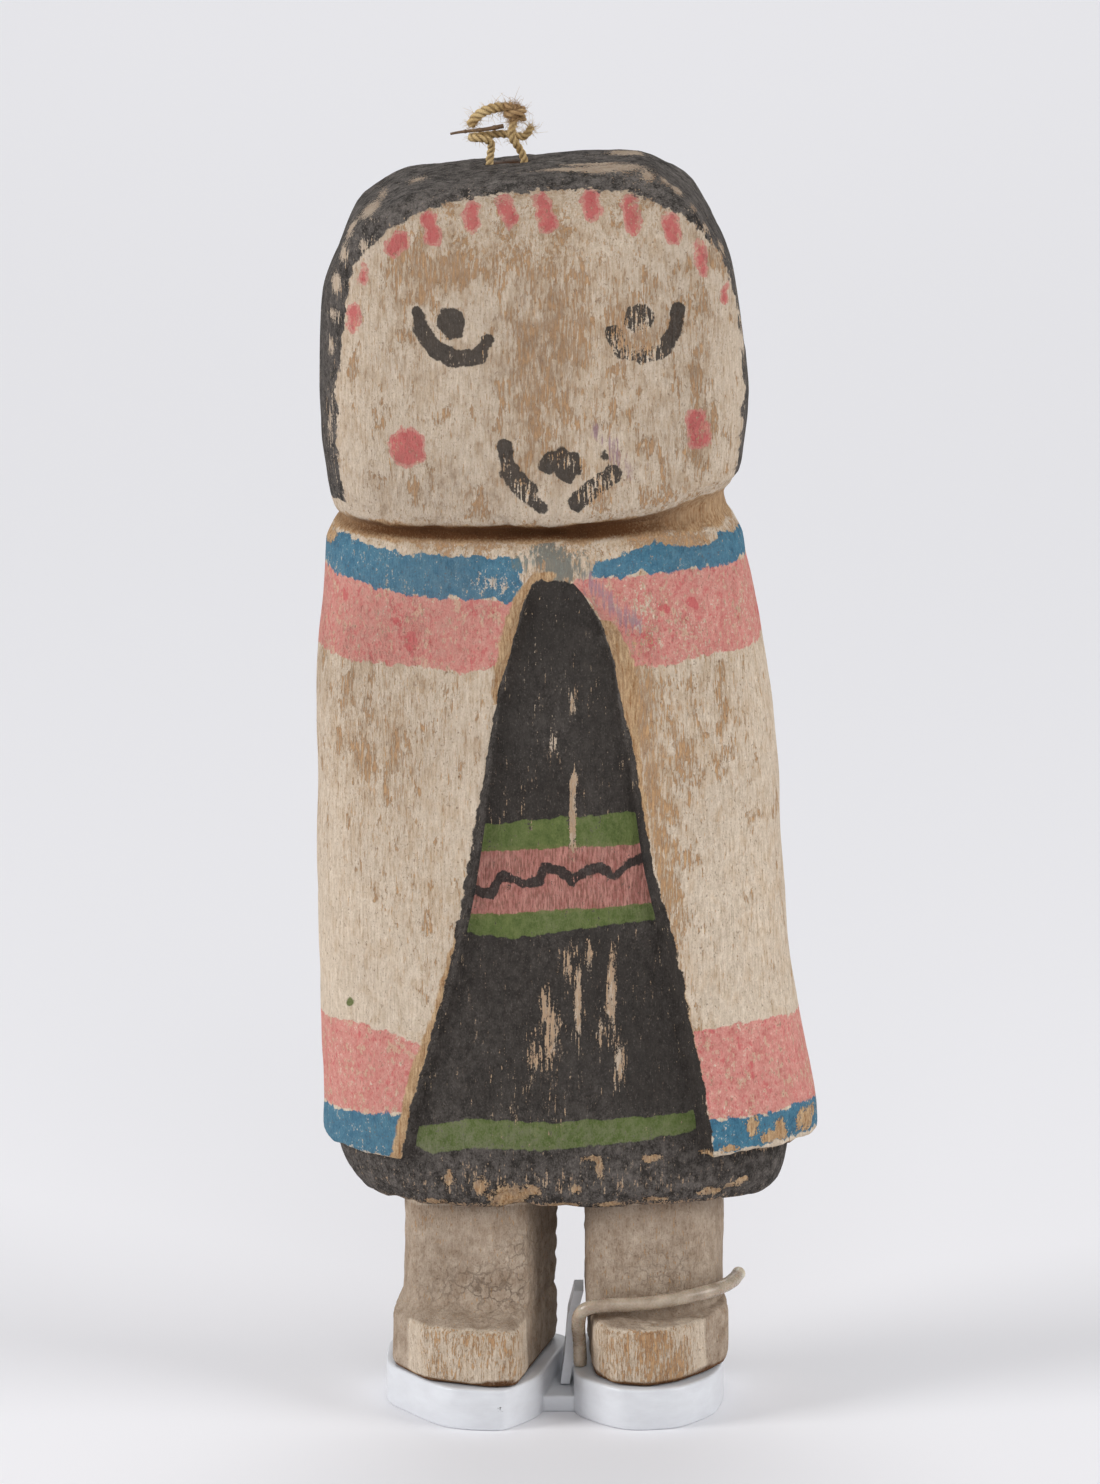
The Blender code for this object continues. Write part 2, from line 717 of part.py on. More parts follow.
def main():
    for old in list(bpy.data.objects):
        bpy.data.objects.remove(old)
    painted_wood = material("painted_wood", (0.52, 0.43, 0.31), 0.85)
    white_metal = material("white_metal", (0.78, 0.79, 0.81), 0.5)
    sleeve = material("wire_sleeve", (0.42, 0.37, 0.30), 0.35)
    fibre = material("twine_fibre", (0.50, 0.35, 0.14), 0.9)
    stem = material("twig_stem", (0.25, 0.17, 0.11), 0.8)
    origin = bpy.data.objects.new("figure_origin", None)
    bpy.context.scene.collection.objects.link(origin)
    doll = build_doll(painted_wood, origin)
    standing = [doll, build_mount(white_metal, origin), build_post(white_metal, origin)]
    standing.append(build_wire(sleeve, origin))
    build_twine(fibre, origin)
    build_twig(stem, origin)
    centre_over_origin(origin, standing)


main()
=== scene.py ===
"""Dresses a small carved and painted kachina doll on its museum mount.

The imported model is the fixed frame. The doll is carved again in finer mesh, with its grain,
chips and knife marks, and is painted from named bands and strokes. The twine, twig, wire and
mount get their own finer pieces and finishes. Sizes are millimetres unless a name says more.
"""

import itertools
import logging
import math
from collections.abc import Mapping, Sequence
from dataclasses import dataclass, field
from enum import Enum

import bmesh
import bpy
import numpy as np
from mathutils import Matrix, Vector


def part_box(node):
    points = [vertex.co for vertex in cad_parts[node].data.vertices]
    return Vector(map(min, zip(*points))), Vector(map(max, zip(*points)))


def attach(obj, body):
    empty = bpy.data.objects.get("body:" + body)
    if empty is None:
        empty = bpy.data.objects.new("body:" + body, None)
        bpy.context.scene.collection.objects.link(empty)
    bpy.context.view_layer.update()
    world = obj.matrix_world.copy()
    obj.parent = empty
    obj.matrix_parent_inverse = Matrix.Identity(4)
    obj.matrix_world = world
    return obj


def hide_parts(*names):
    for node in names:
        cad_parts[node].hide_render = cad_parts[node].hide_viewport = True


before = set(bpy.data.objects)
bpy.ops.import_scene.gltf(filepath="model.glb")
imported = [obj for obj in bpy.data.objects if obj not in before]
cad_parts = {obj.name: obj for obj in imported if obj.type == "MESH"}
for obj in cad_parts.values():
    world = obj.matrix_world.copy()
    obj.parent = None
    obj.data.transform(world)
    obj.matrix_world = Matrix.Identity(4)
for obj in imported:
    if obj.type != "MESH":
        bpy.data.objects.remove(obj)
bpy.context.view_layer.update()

LOG = logging.getLogger("doll")

MM = 0.001
PHOTO_HEIGHT = 1484
# A depth that is surely outside a paint's border.
OUTSIDE = -9.0

Colour = tuple[float, float, float]
Place = tuple[float, ...]
Route = tuple[Place, ...]


def linear(red: int, green: int, blue: int) -> Colour:
    """A display colour of 0 to 255 as the light values that a shader takes."""
    parts = (part / 255 for part in (red, green, blue))
    return tuple(p / 12.92 if p <= 0.04045 else ((p + 0.055) / 1.055) ** 2.4 for p in parts)


def hashed(cells: np.ndarray, seed: int) -> np.ndarray:
    """Draws values that are the same every time.

    Args:
        cells: Rows of three whole numbers.
        seed: Which of the many patterns.

    Returns:
        A value from -1 to 1 for each row.
    """
    mixed = cells[:, 0] * 73856093 ^ cells[:, 1] * 19349663 ^ cells[:, 2] * 83492791
    mixed = (mixed ^ seed * 2654435761) & 0xFFFFFFFF
    mixed = ((mixed ^ (mixed >> 13)) * 1274126177) & 0xFFFFFFFF
    mixed = mixed ^ (mixed >> 16)
    return (mixed & 0xFFFF) / 32767.5 - 1


def unevenness(points: np.ndarray, size: Place, seed: int) -> np.ndarray:
    """Smooth noise from -1 to 1 over points.

    Args:
        points: The places, one row each.
        size: How far apart its bumps are along x, y and z.
        seed: Which of the many patterns.

    Returns:
        One value for each point.
    """
    scaled = points / np.array(size)
    cell = np.floor(scaled).astype(np.int64)
    local = scaled - cell
    blend = local * local * (3 - 2 * local)
    total = np.zeros(len(points))
    for corner in itertools.product((0, 1), repeat=3):
        weight = np.prod(np.where(np.array(corner) == 1, blend, 1 - blend), axis=1)
        total += hashed(cell + np.array(corner), seed) * weight
    return total


def smooth_along(stations: Route, height: np.ndarray | float, column: int = 1) -> np.ndarray:
    """A smooth curve through (height, value, ...) stations, flat beyond the ends.

    Args:
        stations: Rows whose first number is the height.
        height: Where to read the curve.
        column: Which of a row's numbers is the value.

    Returns:
        The curve's value at each height.
    """
    heights = np.array([station[0] for station in stations])
    values = np.array([station[column] for station in stations])
    slopes = np.gradient(values, heights)
    height = np.clip(height, heights[0], heights[-1])
    index = np.clip(np.searchsorted(heights, height) - 1, 0, len(heights) - 2)
    span = heights[index + 1] - heights[index]
    t = (height - heights[index]) / span
    before = values[index] * (1 + 2 * t) * (1 - t) ** 2
    before = before + slopes[index] * span * t * (1 - t) ** 2
    after = values[index + 1] * t * t * (3 - 2 * t)
    after = after - slopes[index + 1] * span * t * t * (1 - t)
    return before + after


def run_lengths(route: np.ndarray) -> np.ndarray:
    """How far along a route each of its points lies."""
    return np.concatenate([[0], np.cumsum(np.linalg.norm(np.diff(route, axis=0), axis=1))])


def evenly(route: np.ndarray, count: int) -> np.ndarray:
    """So many evenly spaced points along a route, with both its ends."""
    lengths = run_lengths(route)
    wanted = np.linspace(0, lengths[-1], count)
    return np.stack([np.interp(wanted, lengths, part) for part in route.T], axis=1)


def smooth_route(points: Route | np.ndarray, count: int) -> np.ndarray:
    """Draws a smooth curve through a route's own points.

    Args:
        points: The points that it goes through.
        count: How many evenly spaced points the curve gets.

    Returns:
        The curve's points, one row each.
    """
    route = np.array(points, dtype=float)
    padded = np.vstack([2 * route[0] - route[1], route, 2 * route[-1] - route[-2]])
    dense = []
    for index in range(len(route) - 1):
        p0, p1, p2, p3 = padded[index : index + 4]
        for t in np.linspace(0, 1, 24, endpoint=False):
            bend = (2 * p0 - 5 * p1 + 4 * p2 - p3) * t**2 + (3 * p1 - p0 - 3 * p2 + p3) * t**3
            dense.append(0.5 * (2 * p1 + (p2 - p0) * t + bend))
    return evenly(np.array([*dense, route[-1]]), count)


def soft_outline(corners: Route, cut: float, count: int, share: float = 1 / 3) -> np.ndarray:
    """A closed flat outline with softened corners.

    Args:
        corners: Its corners, in order.
        cut: How far from each corner the rounding starts.
        count: How many evenly spaced points it gets.
        share: The most of a side that one rounding takes.

    Returns:
        The points, one row each.
    """
    points = np.array(corners, dtype=float)
    parts = []
    for index, here in enumerate(points):
        before = points[index - 1] - here
        after = points[(index + 1) % len(points)] - here
        start = here + before * min(cut / np.linalg.norm(before), share)
        end = here + after * min(cut / np.linalg.norm(after), share)
        for t in np.linspace(0, 1, 6):
            parts.append(start * (1 - t) ** 2 + here * 2 * t * (1 - t) + end * t * t)
    return evenly(np.array([*parts, parts[0]]), count + 1)[:-1]


def line_distance(points: np.ndarray, line: Route) -> np.ndarray:
    """Measures how far flat points lie from a bent line or a single dot.

    Args:
        points: The points.
        line: The line's corners.

    Returns:
        The distances.
    """
    corners = np.array(line, dtype=float)
    if len(corners) == 1:
        return np.linalg.norm(points - corners[0], axis=1)
    nearest = np.full(len(points), np.inf)
    for start, end in zip(corners[:-1], corners[1:]):
        run = end - start
        share = np.clip((points - start) @ run / (run @ run), 0, 1)
        nearest = np.minimum(nearest, np.linalg.norm(points - start - share[:, None] * run, axis=1))
    return nearest


def inside_depth(points: np.ndarray, outline: Route) -> np.ndarray:
    """Measures how deep flat points lie inside a closed outline.

    Args:
        points: The points.
        outline: The outline's corners, in order.

    Returns:
        The depths, negative outside.
    """
    corners = np.array(outline, dtype=float)
    inside = np.zeros(len(points), dtype=bool)
    for (x0, y0), (x1, y1) in zip(corners, np.roll(corners, -1, axis=0)):
        crosses = (y0 > points[:, 1]) != (y1 > points[:, 1])
        reach = x0 + (points[:, 1] - y0) * (x1 - x0) / (y1 - y0 if y1 != y0 else 1)
        inside ^= crosses & (points[:, 0] < reach)
    depth = line_distance(points, (*outline, outline[0]))
    return np.where(inside, depth, -depth)


def between(height: np.ndarray, turn: np.ndarray, low: Route, high: Route) -> np.ndarray:
    """Depth inside a band round the doll whose two edges are (turn or x, height)."""
    bottom, top = (np.interp(turn, *zip(*edge)) for edge in (low, high))
    return np.minimum(height - bottom, top - height)


def bell(distance: np.ndarray, reach: float) -> np.ndarray:
    """1 where the distance is 0, falling softly to nearly nothing at twice the reach."""
    return np.exp(-((distance / reach) ** 2))


def spots(x: np.ndarray, height: np.ndarray, places: Sequence[Place]) -> np.ndarray:
    """The sum of soft oval spots, each (x, height, reach across, reach up, amount)."""
    ovals = [n * bell(x - a, across) * bell(height - b, up) for a, b, across, up, n in places]
    return sum(ovals, np.zeros(len(x)))


def around(sides: int) -> np.ndarray:
    """The angles of so many even steps round a circle."""
    return np.arange(sides) * 2 * math.pi / sides


def loft(rings: Sequence[np.ndarray], top: np.ndarray | None = None) -> tuple[np.ndarray, list]:
    """Joins rings one above another and closes both ends.

    Args:
        rings: Rows of points, all with the same count, the lowest first.
        top: The point that closes the last ring, or its middle.

    Returns:
        The vertices and the faces.
    """
    count, levels = len(rings[0]), len(rings)
    index = np.arange(count)
    after = (index + 1) % count
    faces = []
    for level in range(levels - 1):
        low, high = level * count, (level + 1) * count
        faces += np.stack([low + index, low + after, high + after, high + index], 1).tolist()
    ends = [rings[0].mean(axis=0), rings[-1].mean(axis=0) if top is None else top]
    bottom = levels * count
    last = (levels - 1) * count
    faces += np.stack([after, index, np.full(count, bottom)], 1).tolist()
    faces += np.stack([last + index, last + after, np.full(count, bottom + 1)], 1).tolist()
    return np.vstack([*rings, *ends]), faces


def frames_along(points: np.ndarray) -> tuple[np.ndarray, np.ndarray]:
    """Finds two directions square to a route, with no twist between its points.

    Args:
        points: The route, one row each.

    Returns:
        The first and the second direction at each point.
    """
    tangents = np.gradient(points, axis=0)
    tangents /= np.linalg.norm(tangents, axis=1)[:, None]
    first = np.cross(tangents[0], (0.0, 1.0, 0.0))
    firsts = []
    for tangent in tangents:
        first = first - tangent * (first @ tangent)
        first = first / np.linalg.norm(first)
        firsts.append(first)
    return np.array(firsts), np.cross(tangents, firsts)


def tube(points: np.ndarray, radius: np.ndarray) -> tuple[np.ndarray, list]:
    """Makes a closed tube along a route.

    Args:
        points: The route, one row each.
        radius: A row for each point and a column for each side of the tube.

    Returns:
        The vertices and the faces.
    """
    first, second = frames_along(points)
    turn = around(radius.shape[1])
    rings = [
        place + radii[:, None] * (np.outer(np.cos(turn), a) + np.outer(np.sin(turn), b))
        for place, radii, a, b in zip(points, radius, first, second)
    ]
    return loft(rings)


class Slot(Enum):
    """The record's material slots."""

    WOOD = "painted_wood"
    METAL = "white_metal"
    SLEEVE = "wire_sleeve"
    FIBRE = "twine_fibre"
    STEM = "twig_stem"


class Workbench:
    """Turns plain points in the doll's millimetres into pieces that stand in the frame."""

    LOBE_LEFT = -25.0
    LOBE_FRONT = -21.9
    SOLE_HEIGHT = 6.65

    def __init__(self) -> None:
        """Finds the doll's middle line from where the mount stands."""
        low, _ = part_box("mount_base")
        self.origin = Vector((low.x - self.LOBE_LEFT * MM, low.y - self.LOBE_FRONT * MM, 0.0))

    def world(self, points: np.ndarray, lift: float = SOLE_HEIGHT) -> np.ndarray:
        """Points in metres in the frame, from millimetres above the sole or another level."""
        return (points + np.array((0, 0, lift))) * MM + np.array(self.origin)

    def points(self, made: bpy.types.Object) -> np.ndarray:
        """A piece's points in the doll's millimetres again, one row each."""
        places = np.empty(len(made.data.vertices) * 3)
        made.data.vertices.foreach_get("co", places)
        return (places.reshape(-1, 3) - np.array(self.origin)) / MM - (0, 0, self.SOLE_HEIGHT)

    def piece(
        self,
        name: str,
        vertices: np.ndarray,
        faces: list,
        fields: Mapping[str, np.ndarray] | None = None,
        lift: float = SOLE_HEIGHT,
    ) -> bpy.types.Object:
        """Makes one mesh object, with its faces turned out.

        Args:
            name: The piece's name.
            vertices: Its points, in the doll's millimetres.
            faces: Corner numbers of each face.
            fields: Numbers kept on its points for the shader.
            lift: How high the points' own zero stands above the floor.

        Returns:
            The object.
        """
        mesh = bpy.data.meshes.new(name)
        mesh.from_pydata(self.world(vertices, lift).tolist(), [], faces)
        work = bmesh.new()
        work.from_mesh(mesh)
        bmesh.ops.recalc_face_normals(work, faces=work.faces)
        work.to_mesh(mesh)
        work.free()
        mesh.shade_smooth()
        made = bpy.data.objects.new(name, mesh)
        bpy.context.scene.collection.objects.link(made)
        for field_name, values in (fields or {}).items():
            self.keep(made, field_name, values)
        return made

    @staticmethod
    def keep(made: bpy.types.Object, name: str, values: np.ndarray) -> None:
        """Stores one number for each point of a piece, for its shader to read."""
        attribute = made.data.attributes.new(name, "FLOAT", "POINT")
        attribute.data.foreach_set("value", np.asarray(values, dtype=np.float32))

    @staticmethod
    def take(made: bpy.types.Object, name: str) -> np.ndarray:
        """Reads the numbers that were kept on a piece's points, and removes them there.

        Args:
            made: The piece.
            name: What the numbers were kept as.

        Returns:
            One number for each point.
        """
        attribute = made.data.attributes[name]
        values = np.empty(len(made.data.vertices))
        attribute.data.foreach_get("value", values)
        made.data.attributes.remove(attribute)
        return values

    @staticmethod
    def combine(target: bpy.types.Object, other: bpy.types.Object, operation: str) -> None:
        """Joins or cuts one body with another.

        Args:
            target: The body that stays.
            other: The body that is thrown away afterwards.
            operation: UNION or DIFFERENCE.
        """
        modifier = target.modifiers.new("combine", "BOOLEAN")
        modifier.operation = operation
        modifier.solver = "EXACT"
        modifier.object = other
        graph = bpy.context.evaluated_depsgraph_get()
        made = bpy.data.meshes.new_from_object(target.evaluated_get(graph), depsgraph=graph)
        target.modifiers.clear()
        old, target.data = target.data, made
        bpy.data.meshes.remove(old)
        bpy.data.objects.remove(other)

    @staticmethod
    def dress(
        made: bpy.types.Object, finish: bpy.types.Material, slot: Slot, *nodes: str
    ) -> bpy.types.Object:
        """Gives a piece its finish and puts it in the place of its frame nodes.

        Args:
            made: The piece.
            finish: Its material.
            slot: The record's slot for it, which is not used.
            nodes: The frame nodes that it replaces, if any.

        Returns:
            The same piece.
        """
        made.data.materials.clear()
        made.data.materials.append(finish)
        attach(made, "root")
        if nodes:
            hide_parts(*nodes)
        return made


@dataclass(frozen=True)
class Tones:
    """A paint's darker and lighter tone, which its patches run between."""

    dark: Colour
    light: Colour


class Value:
    """A shader number that Python's operators work on, each adding its Math node."""

    def __init__(self, bench: "Bench", socket: bpy.types.NodeSocket) -> None:
        """Wraps an output socket of the bench's tree."""
        self.bench = bench
        self.socket = socket

    def _maths(self, operation: str, *terms: "Value | float") -> "Value":
        """One Math node with these terms."""
        made = self.bench.node("ShaderNodeMath", {"operation": operation}, dict(enumerate(terms)))
        return Value(self.bench, made.outputs[0])

    def __add__(self, other: "Value | float") -> "Value":
        """The sum."""
        return self._maths("ADD", self, other)

    __radd__ = __add__

    def __sub__(self, other: "Value | float") -> "Value":
        """The difference."""
        return self._maths("SUBTRACT", self, other)

    def __rsub__(self, other: float) -> "Value":
        """The difference, from the right."""
        return self._maths("SUBTRACT", other, self)

    def __mul__(self, other: "Value | float") -> "Value":
        """The product."""
        return self._maths("MULTIPLY", self, other)

    __rmul__ = __mul__

    def least(self, other: "Value | float") -> "Value":
        """The smaller of two."""
        return self._maths("MINIMUM", self, other)

    def most(self, other: "Value | float") -> "Value":
        """The larger of two."""
        return self._maths("MAXIMUM", self, other)

    def spread(self, contrast: float, middle: float = 0.5) -> "Value":
        """Gives a value more contrast round 0.5, and puts the middle there."""
        return (self - 0.5) * contrast + middle

    def rise(self, low: float, high: float) -> "Value":
        """Goes softly from 0 at low to 1 at high."""
        sockets = {"Value": self, "From Min": low, "From Max": high}
        soft = {"interpolation_type": "SMOOTHSTEP"}
        return Value(self.bench, self.bench.node("ShaderNodeMapRange", soft, sockets).outputs[0])


Paint = Colour | bpy.types.NodeSocket


class Bench:
    """One material's node tree, and the ways of adding to it."""

    def __init__(self, name: str) -> None:
        """Starts a material with its Principled shader."""
        self.material = bpy.data.materials.new(name)
        self.material.use_nodes = True
        self.tree = self.material.node_tree
        self.shader = self.tree.nodes["Principled BSDF"]

    def node(
        self, kind: str, settings: Mapping | None = None, sockets: Mapping | None = None
    ) -> bpy.types.Node:
        """Adds any node.

        Args:
            kind: Its type.
            settings: Its own settings, which are set first.
            sockets: A value or a link for each named or numbered input.

        Returns:
            The node.
        """
        made = self.tree.nodes.new(kind)
        for name, value in (settings or {}).items():
            setattr(made, name, value)
        for name, value in (sockets or {}).items():
            self.feed(made.inputs[name], value)
        return made

    def feed(self, socket: bpy.types.NodeSocket, value: object) -> None:
        """Links a value to an input, or sets a plain one on it.

        Args:
            socket: The input.
            value: A shader value, an output, a number, a colour or a vector.
        """
        if isinstance(value, Value):
            value = value.socket
        if isinstance(value, bpy.types.NodeSocket):
            self.tree.links.new(value, socket)
        elif socket.type == "RGBA":
            socket.default_value = (*value, 1.0)
        else:
            socket.default_value = value

    def field(self, name: str) -> Value:
        """A number that the piece keeps on its points."""
        made = self.node("ShaderNodeAttribute", {"attribute_name": name})
        return Value(self, made.outputs["Fac"])

    def places(self, scale: Place) -> bpy.types.NodeSocket:
        """The surface's own place in millimetres, times a scale along each axis."""
        source = self.node("ShaderNodeTexCoord").outputs["Object"]
        return self.vectors("MULTIPLY", source, tuple(part / MM for part in scale)).outputs[0]

    def vectors(self, operation: str, *terms: object) -> bpy.types.Node:
        """One Vector Math node with these terms."""
        return self.node("ShaderNodeVectorMath", {"operation": operation}, dict(enumerate(terms)))

    def noise(self, scale: Place, detail: float = 3.0, roughness: float = 0.55) -> Value:
        """Cloudy noise, 0 to 1, with so many bumps to the millimetre along each axis."""
        sockets = {"Vector": self.places(scale), "Scale": 1.0, "Detail": detail}
        made = self.node("ShaderNodeTexNoise", {}, {**sockets, "Roughness": roughness})
        return Value(self, made.outputs["Fac"])

    def cracks(self, scale: float, waviness: float) -> Value:
        """Adds fine cracks between crooked cells.

        Args:
            scale: How many cells a millimetre has.
            waviness: How crooked they are.

        Returns:
            1 in a crack and 0 beside it.
        """
        places = self.places((scale, scale, scale))
        bent = self.node("ShaderNodeTexNoise", {}, {"Vector": places, "Scale": 2.0, "Detail": 3.0})
        moved = self.vectors("MULTIPLY_ADD", bent.outputs["Color"], (waviness,) * 3, places)
        sockets = {"Vector": moved.outputs[0], "Scale": 1.0}
        made = self.node("ShaderNodeTexVoronoi", {"feature": "DISTANCE_TO_EDGE"}, sockets)
        return 1 - Value(self, made.outputs["Distance"]).rise(0.02, 0.07)

    def mix(self, share: "Value | float", first: Paint, second: Paint) -> bpy.types.NodeSocket:
        """The first colour where share is 0 and the second where it is 1."""
        made = self.node("ShaderNodeMix", {"data_type": "RGBA"}, {0: share, 6: first, 7: second})
        return made.outputs[2]

    def toned(self, share: Value, tones: Tones) -> bpy.types.NodeSocket:
        """A paint's darker tone where share is 0 and its lighter one where it is 1."""
        return self.mix(share, tones.dark, tones.light)

    def bump(self, height: Value) -> None:
        """Feeds the shader's Normal from a height in millimetres."""
        made = self.node("ShaderNodeBump", {}, {"Height": height, "Distance": MM})
        self.feed(self.shader.inputs["Normal"], made.outputs[0])

    def shade(self, sockets: Mapping) -> bpy.types.Material:
        """Sets or links the Principled shader's own inputs and hands over the material."""
        for name, value in sockets.items():
            self.feed(self.shader.inputs[name], value)
        return self.material


class Grain:
    """The noises, kept fields and patches that the layers of paint on the wood share."""

    def __init__(self, bench: Bench) -> None:
        """Adds each of them to the bench's tree once."""
        self.bench = bench
        self.flakes = bench.noise((0.34, 0.34, 0.19), 6.0, 0.60)
        self.fibre = bench.noise((4.6, 4.6, 0.70), 4.0, 0.62)
        self.streak = bench.noise((1.9, 1.9, 0.24), 4.0, 0.62)
        self.combed = bench.noise((3.0, 3.0, 0.34), 3.0, 0.60)
        self.mottle = bench.noise((0.45, 0.45, 0.30), 4.0, 0.62)
        self.lumps = bench.noise((1.0, 1.0, 0.8), 4.0, 0.6)
        self.speck = bench.noise((4.0, 4.0, 3.0), 3.0, 0.65)
        self.ragged = bench.noise((0.6, 0.6, 0.5), 6.0, 0.62)
        self.dots = bench.noise((1.7, 1.7, 1.2), 3.0, 0.6)
        self.wear = bench.field("wear")
        self.limb = bench.field("limb")
        worn = bench.field("paint_wear") * 0.36
        self.border = (self.ragged - 0.5) * 2.6
        self.tone = (self.lumps * 0.4 + self.mottle * 0.25 + self.speck * 0.35).spread(3.0)
        self.blotch = (self.mottle * 0.35 + self.lumps * 0.35 + self.speck * 0.3).spread(3.4)
        self.lines = (self.combed * 0.5 + self.fibre * 0.5).spread(4.2, 0.45)
        dry = self.streak * 0.25 + self.speck * 0.40 + self.lumps * 0.35
        self.thin = (dry + worn).rise(0.590, 0.640)
        scratches = self.streak * 0.22 + self.combed * 0.34 + self.fibre * 0.22
        self.rubbed = (scratches + self.speck * 0.22 + worn).rise(0.596, 0.640)

    def mask(self, name: str, raggedness: float = 1.0, softness: float = 0.12) -> Value:
        """Where a paint lies, 0 or 1, from the depth that a kept field holds."""
        depth = self.bench.field(name) + self.border * raggedness
        return depth.rise(-softness, softness)


@dataclass(frozen=True)
class PaintedWood:
    """Matt paints over a chalky ground on carved root wood with an upright grain."""

    wood: Tones = Tones(linear(128, 84, 48), linear(206, 162, 114))
    raw: Tones = Tones(linear(150, 108, 68), linear(222, 190, 150))
    chalk: Tones = Tones(linear(190, 170, 146), linear(246, 230, 210))
    stain: Tones = Tones(linear(176, 146, 112), linear(216, 192, 162))
    limb: Tones = Tones(linear(128, 104, 82), linear(222, 204, 184))
    black: Tones = Tones(linear(40, 38, 37), linear(66, 62, 59))
    pink: Tones = Tones(linear(192, 92, 90), linear(238, 178, 164))
    blue: Tones = Tones(linear(24, 86, 118), linear(72, 144, 170))
    green: Tones = Tones(linear(76, 94, 48), linear(124, 134, 80))
    belt: Tones = Tones(linear(150, 82, 76), linear(216, 158, 144))
    deep_pink: Colour = linear(204, 66, 80)
    pit: Colour = linear(112, 86, 66)
    # Dirt, and painted shade between the legs, under the hem and on the left side.
    dirt_and_shade: Colour = linear(124, 104, 88)
    dust: Colour = linear(138, 130, 124)
    # Painted shade for the neck's cut, the twine's channel and under the soles.
    cut_shade_colour: Colour = linear(96, 62, 36)
    crack: Colour = linear(72, 54, 40)
    rubbed: Colour = linear(182, 162, 142)
    smudge: Colour = linear(104, 122, 122)
    lilac: Colour = linear(164, 132, 146)
    roughness: float = 0.9
    gloss: float = 0.15

    def build(self) -> bpy.types.Material:
        """Lays the chalk ground, then each paint, then what age did to them all.

        Returns:
            The material, which reads the fields that CarvedDoll keeps on its points.
        """
        bench = Bench("painted_wood_worn")
        grain = Grain(bench)
        speck, fibre, lumps = grain.speck, grain.fibre, grain.lumps
        colour, bare = self.ground(grain)
        colour = self.bright_paints(grain, colour)
        raw_lines = grain.combed * 0.4 + grain.streak * 0.2 + fibre * 0.2 + speck * 0.2
        raw = bench.toned(raw_lines.spread(5.0), self.raw)
        colour = bench.mix(grain.mask("raw_wood", 0.8, 0.2), colour, raw)
        colour, ink, edges, strokes = self.dress_paints(grain, colour)
        torn = (grain.ragged * 0.5 + speck * 0.3 + grain.mottle * 0.2 - 0.5) * 6.5
        chipped = (bench.field("chipped") + torn).rise(-0.1, 0.1)
        colour = bench.mix(chipped, colour, raw)
        cracks = bench.cracks(0.46, 0.9) * bench.field("crack") * (grain.mottle * 2.0).least(1.0)
        colour = bench.mix(cracks * 0.62, colour, self.crack)
        colour = self.soil_and_shade(grain, colour, ink, strokes)
        height = fibre * 0.28 + speck * 0.16 + lumps * 0.34 + grain.streak * 0.08 - bare * 0.12
        height = height + edges * 0.05 * (1 - chipped) - chipped * 0.12 - cracks * 0.2
        bench.bump(height)
        rough = self.roughness + (speck - 0.5) * 0.12
        return bench.shade(
            {"Base Color": colour, "Roughness": rough, "Specular IOR Level": self.gloss}
        )

    def ground(self, grain: Grain) -> tuple[Paint, Value]:
        """Lays chalk with damp stains on the wood, and the dull coat of the limbs.

        Args:
            grain: The shared noises.

        Returns:
            The colour, and how bare the wood is.
        """
        bench = grain.bench
        streak, combed, fibre, speck = grain.streak, grain.combed, grain.fibre, grain.speck
        lumps, mottle, wear, limb = grain.lumps, grain.mottle, grain.wear, grain.limb
        wood = bench.toned(grain.lines, self.wood)
        stain = bench.toned(grain.lines, self.stain)
        dull = lumps * 0.25 + mottle * 0.2 + speck * 0.25 + combed * 0.3
        chalk = bench.toned(dull.spread(3.8), self.chalk)
        soaked = (streak * 0.3 + mottle * 0.7 + wear * 0.25).rise(0.50, 0.66)
        chalk = bench.mix(soaked * 0.55 * (1 - limb), chalk, stain)
        coat = lumps * 0.25 + mottle * 0.35 + speck * 0.2 + fibre * 0.2
        chalk = bench.mix(limb, chalk, bench.toned(coat.spread(3.0, 0.45), self.limb))
        scored = streak * 0.24 + fibre * 0.46 + lumps * 0.20 + speck * 0.10
        legs = (limb * 5.0).least(1.0)
        flaked = grain.flakes * 0.60 + streak * 0.22 + fibre * 0.18 + wear * 0.30
        flaked = flaked.rise(0.618, 0.636) * (combed * 0.7 + fibre * 0.3).rise(0.44, 0.52)
        scratched = (scored + wear * 0.20).rise(0.580, 0.624) * 0.7
        bare = flaked.most(scratched) * (1 - legs)
        bare = bare + (scored + wear * 0.22).rise(0.568, 0.612) * legs
        return bench.mix(bare * 0.85, chalk, wood), bare

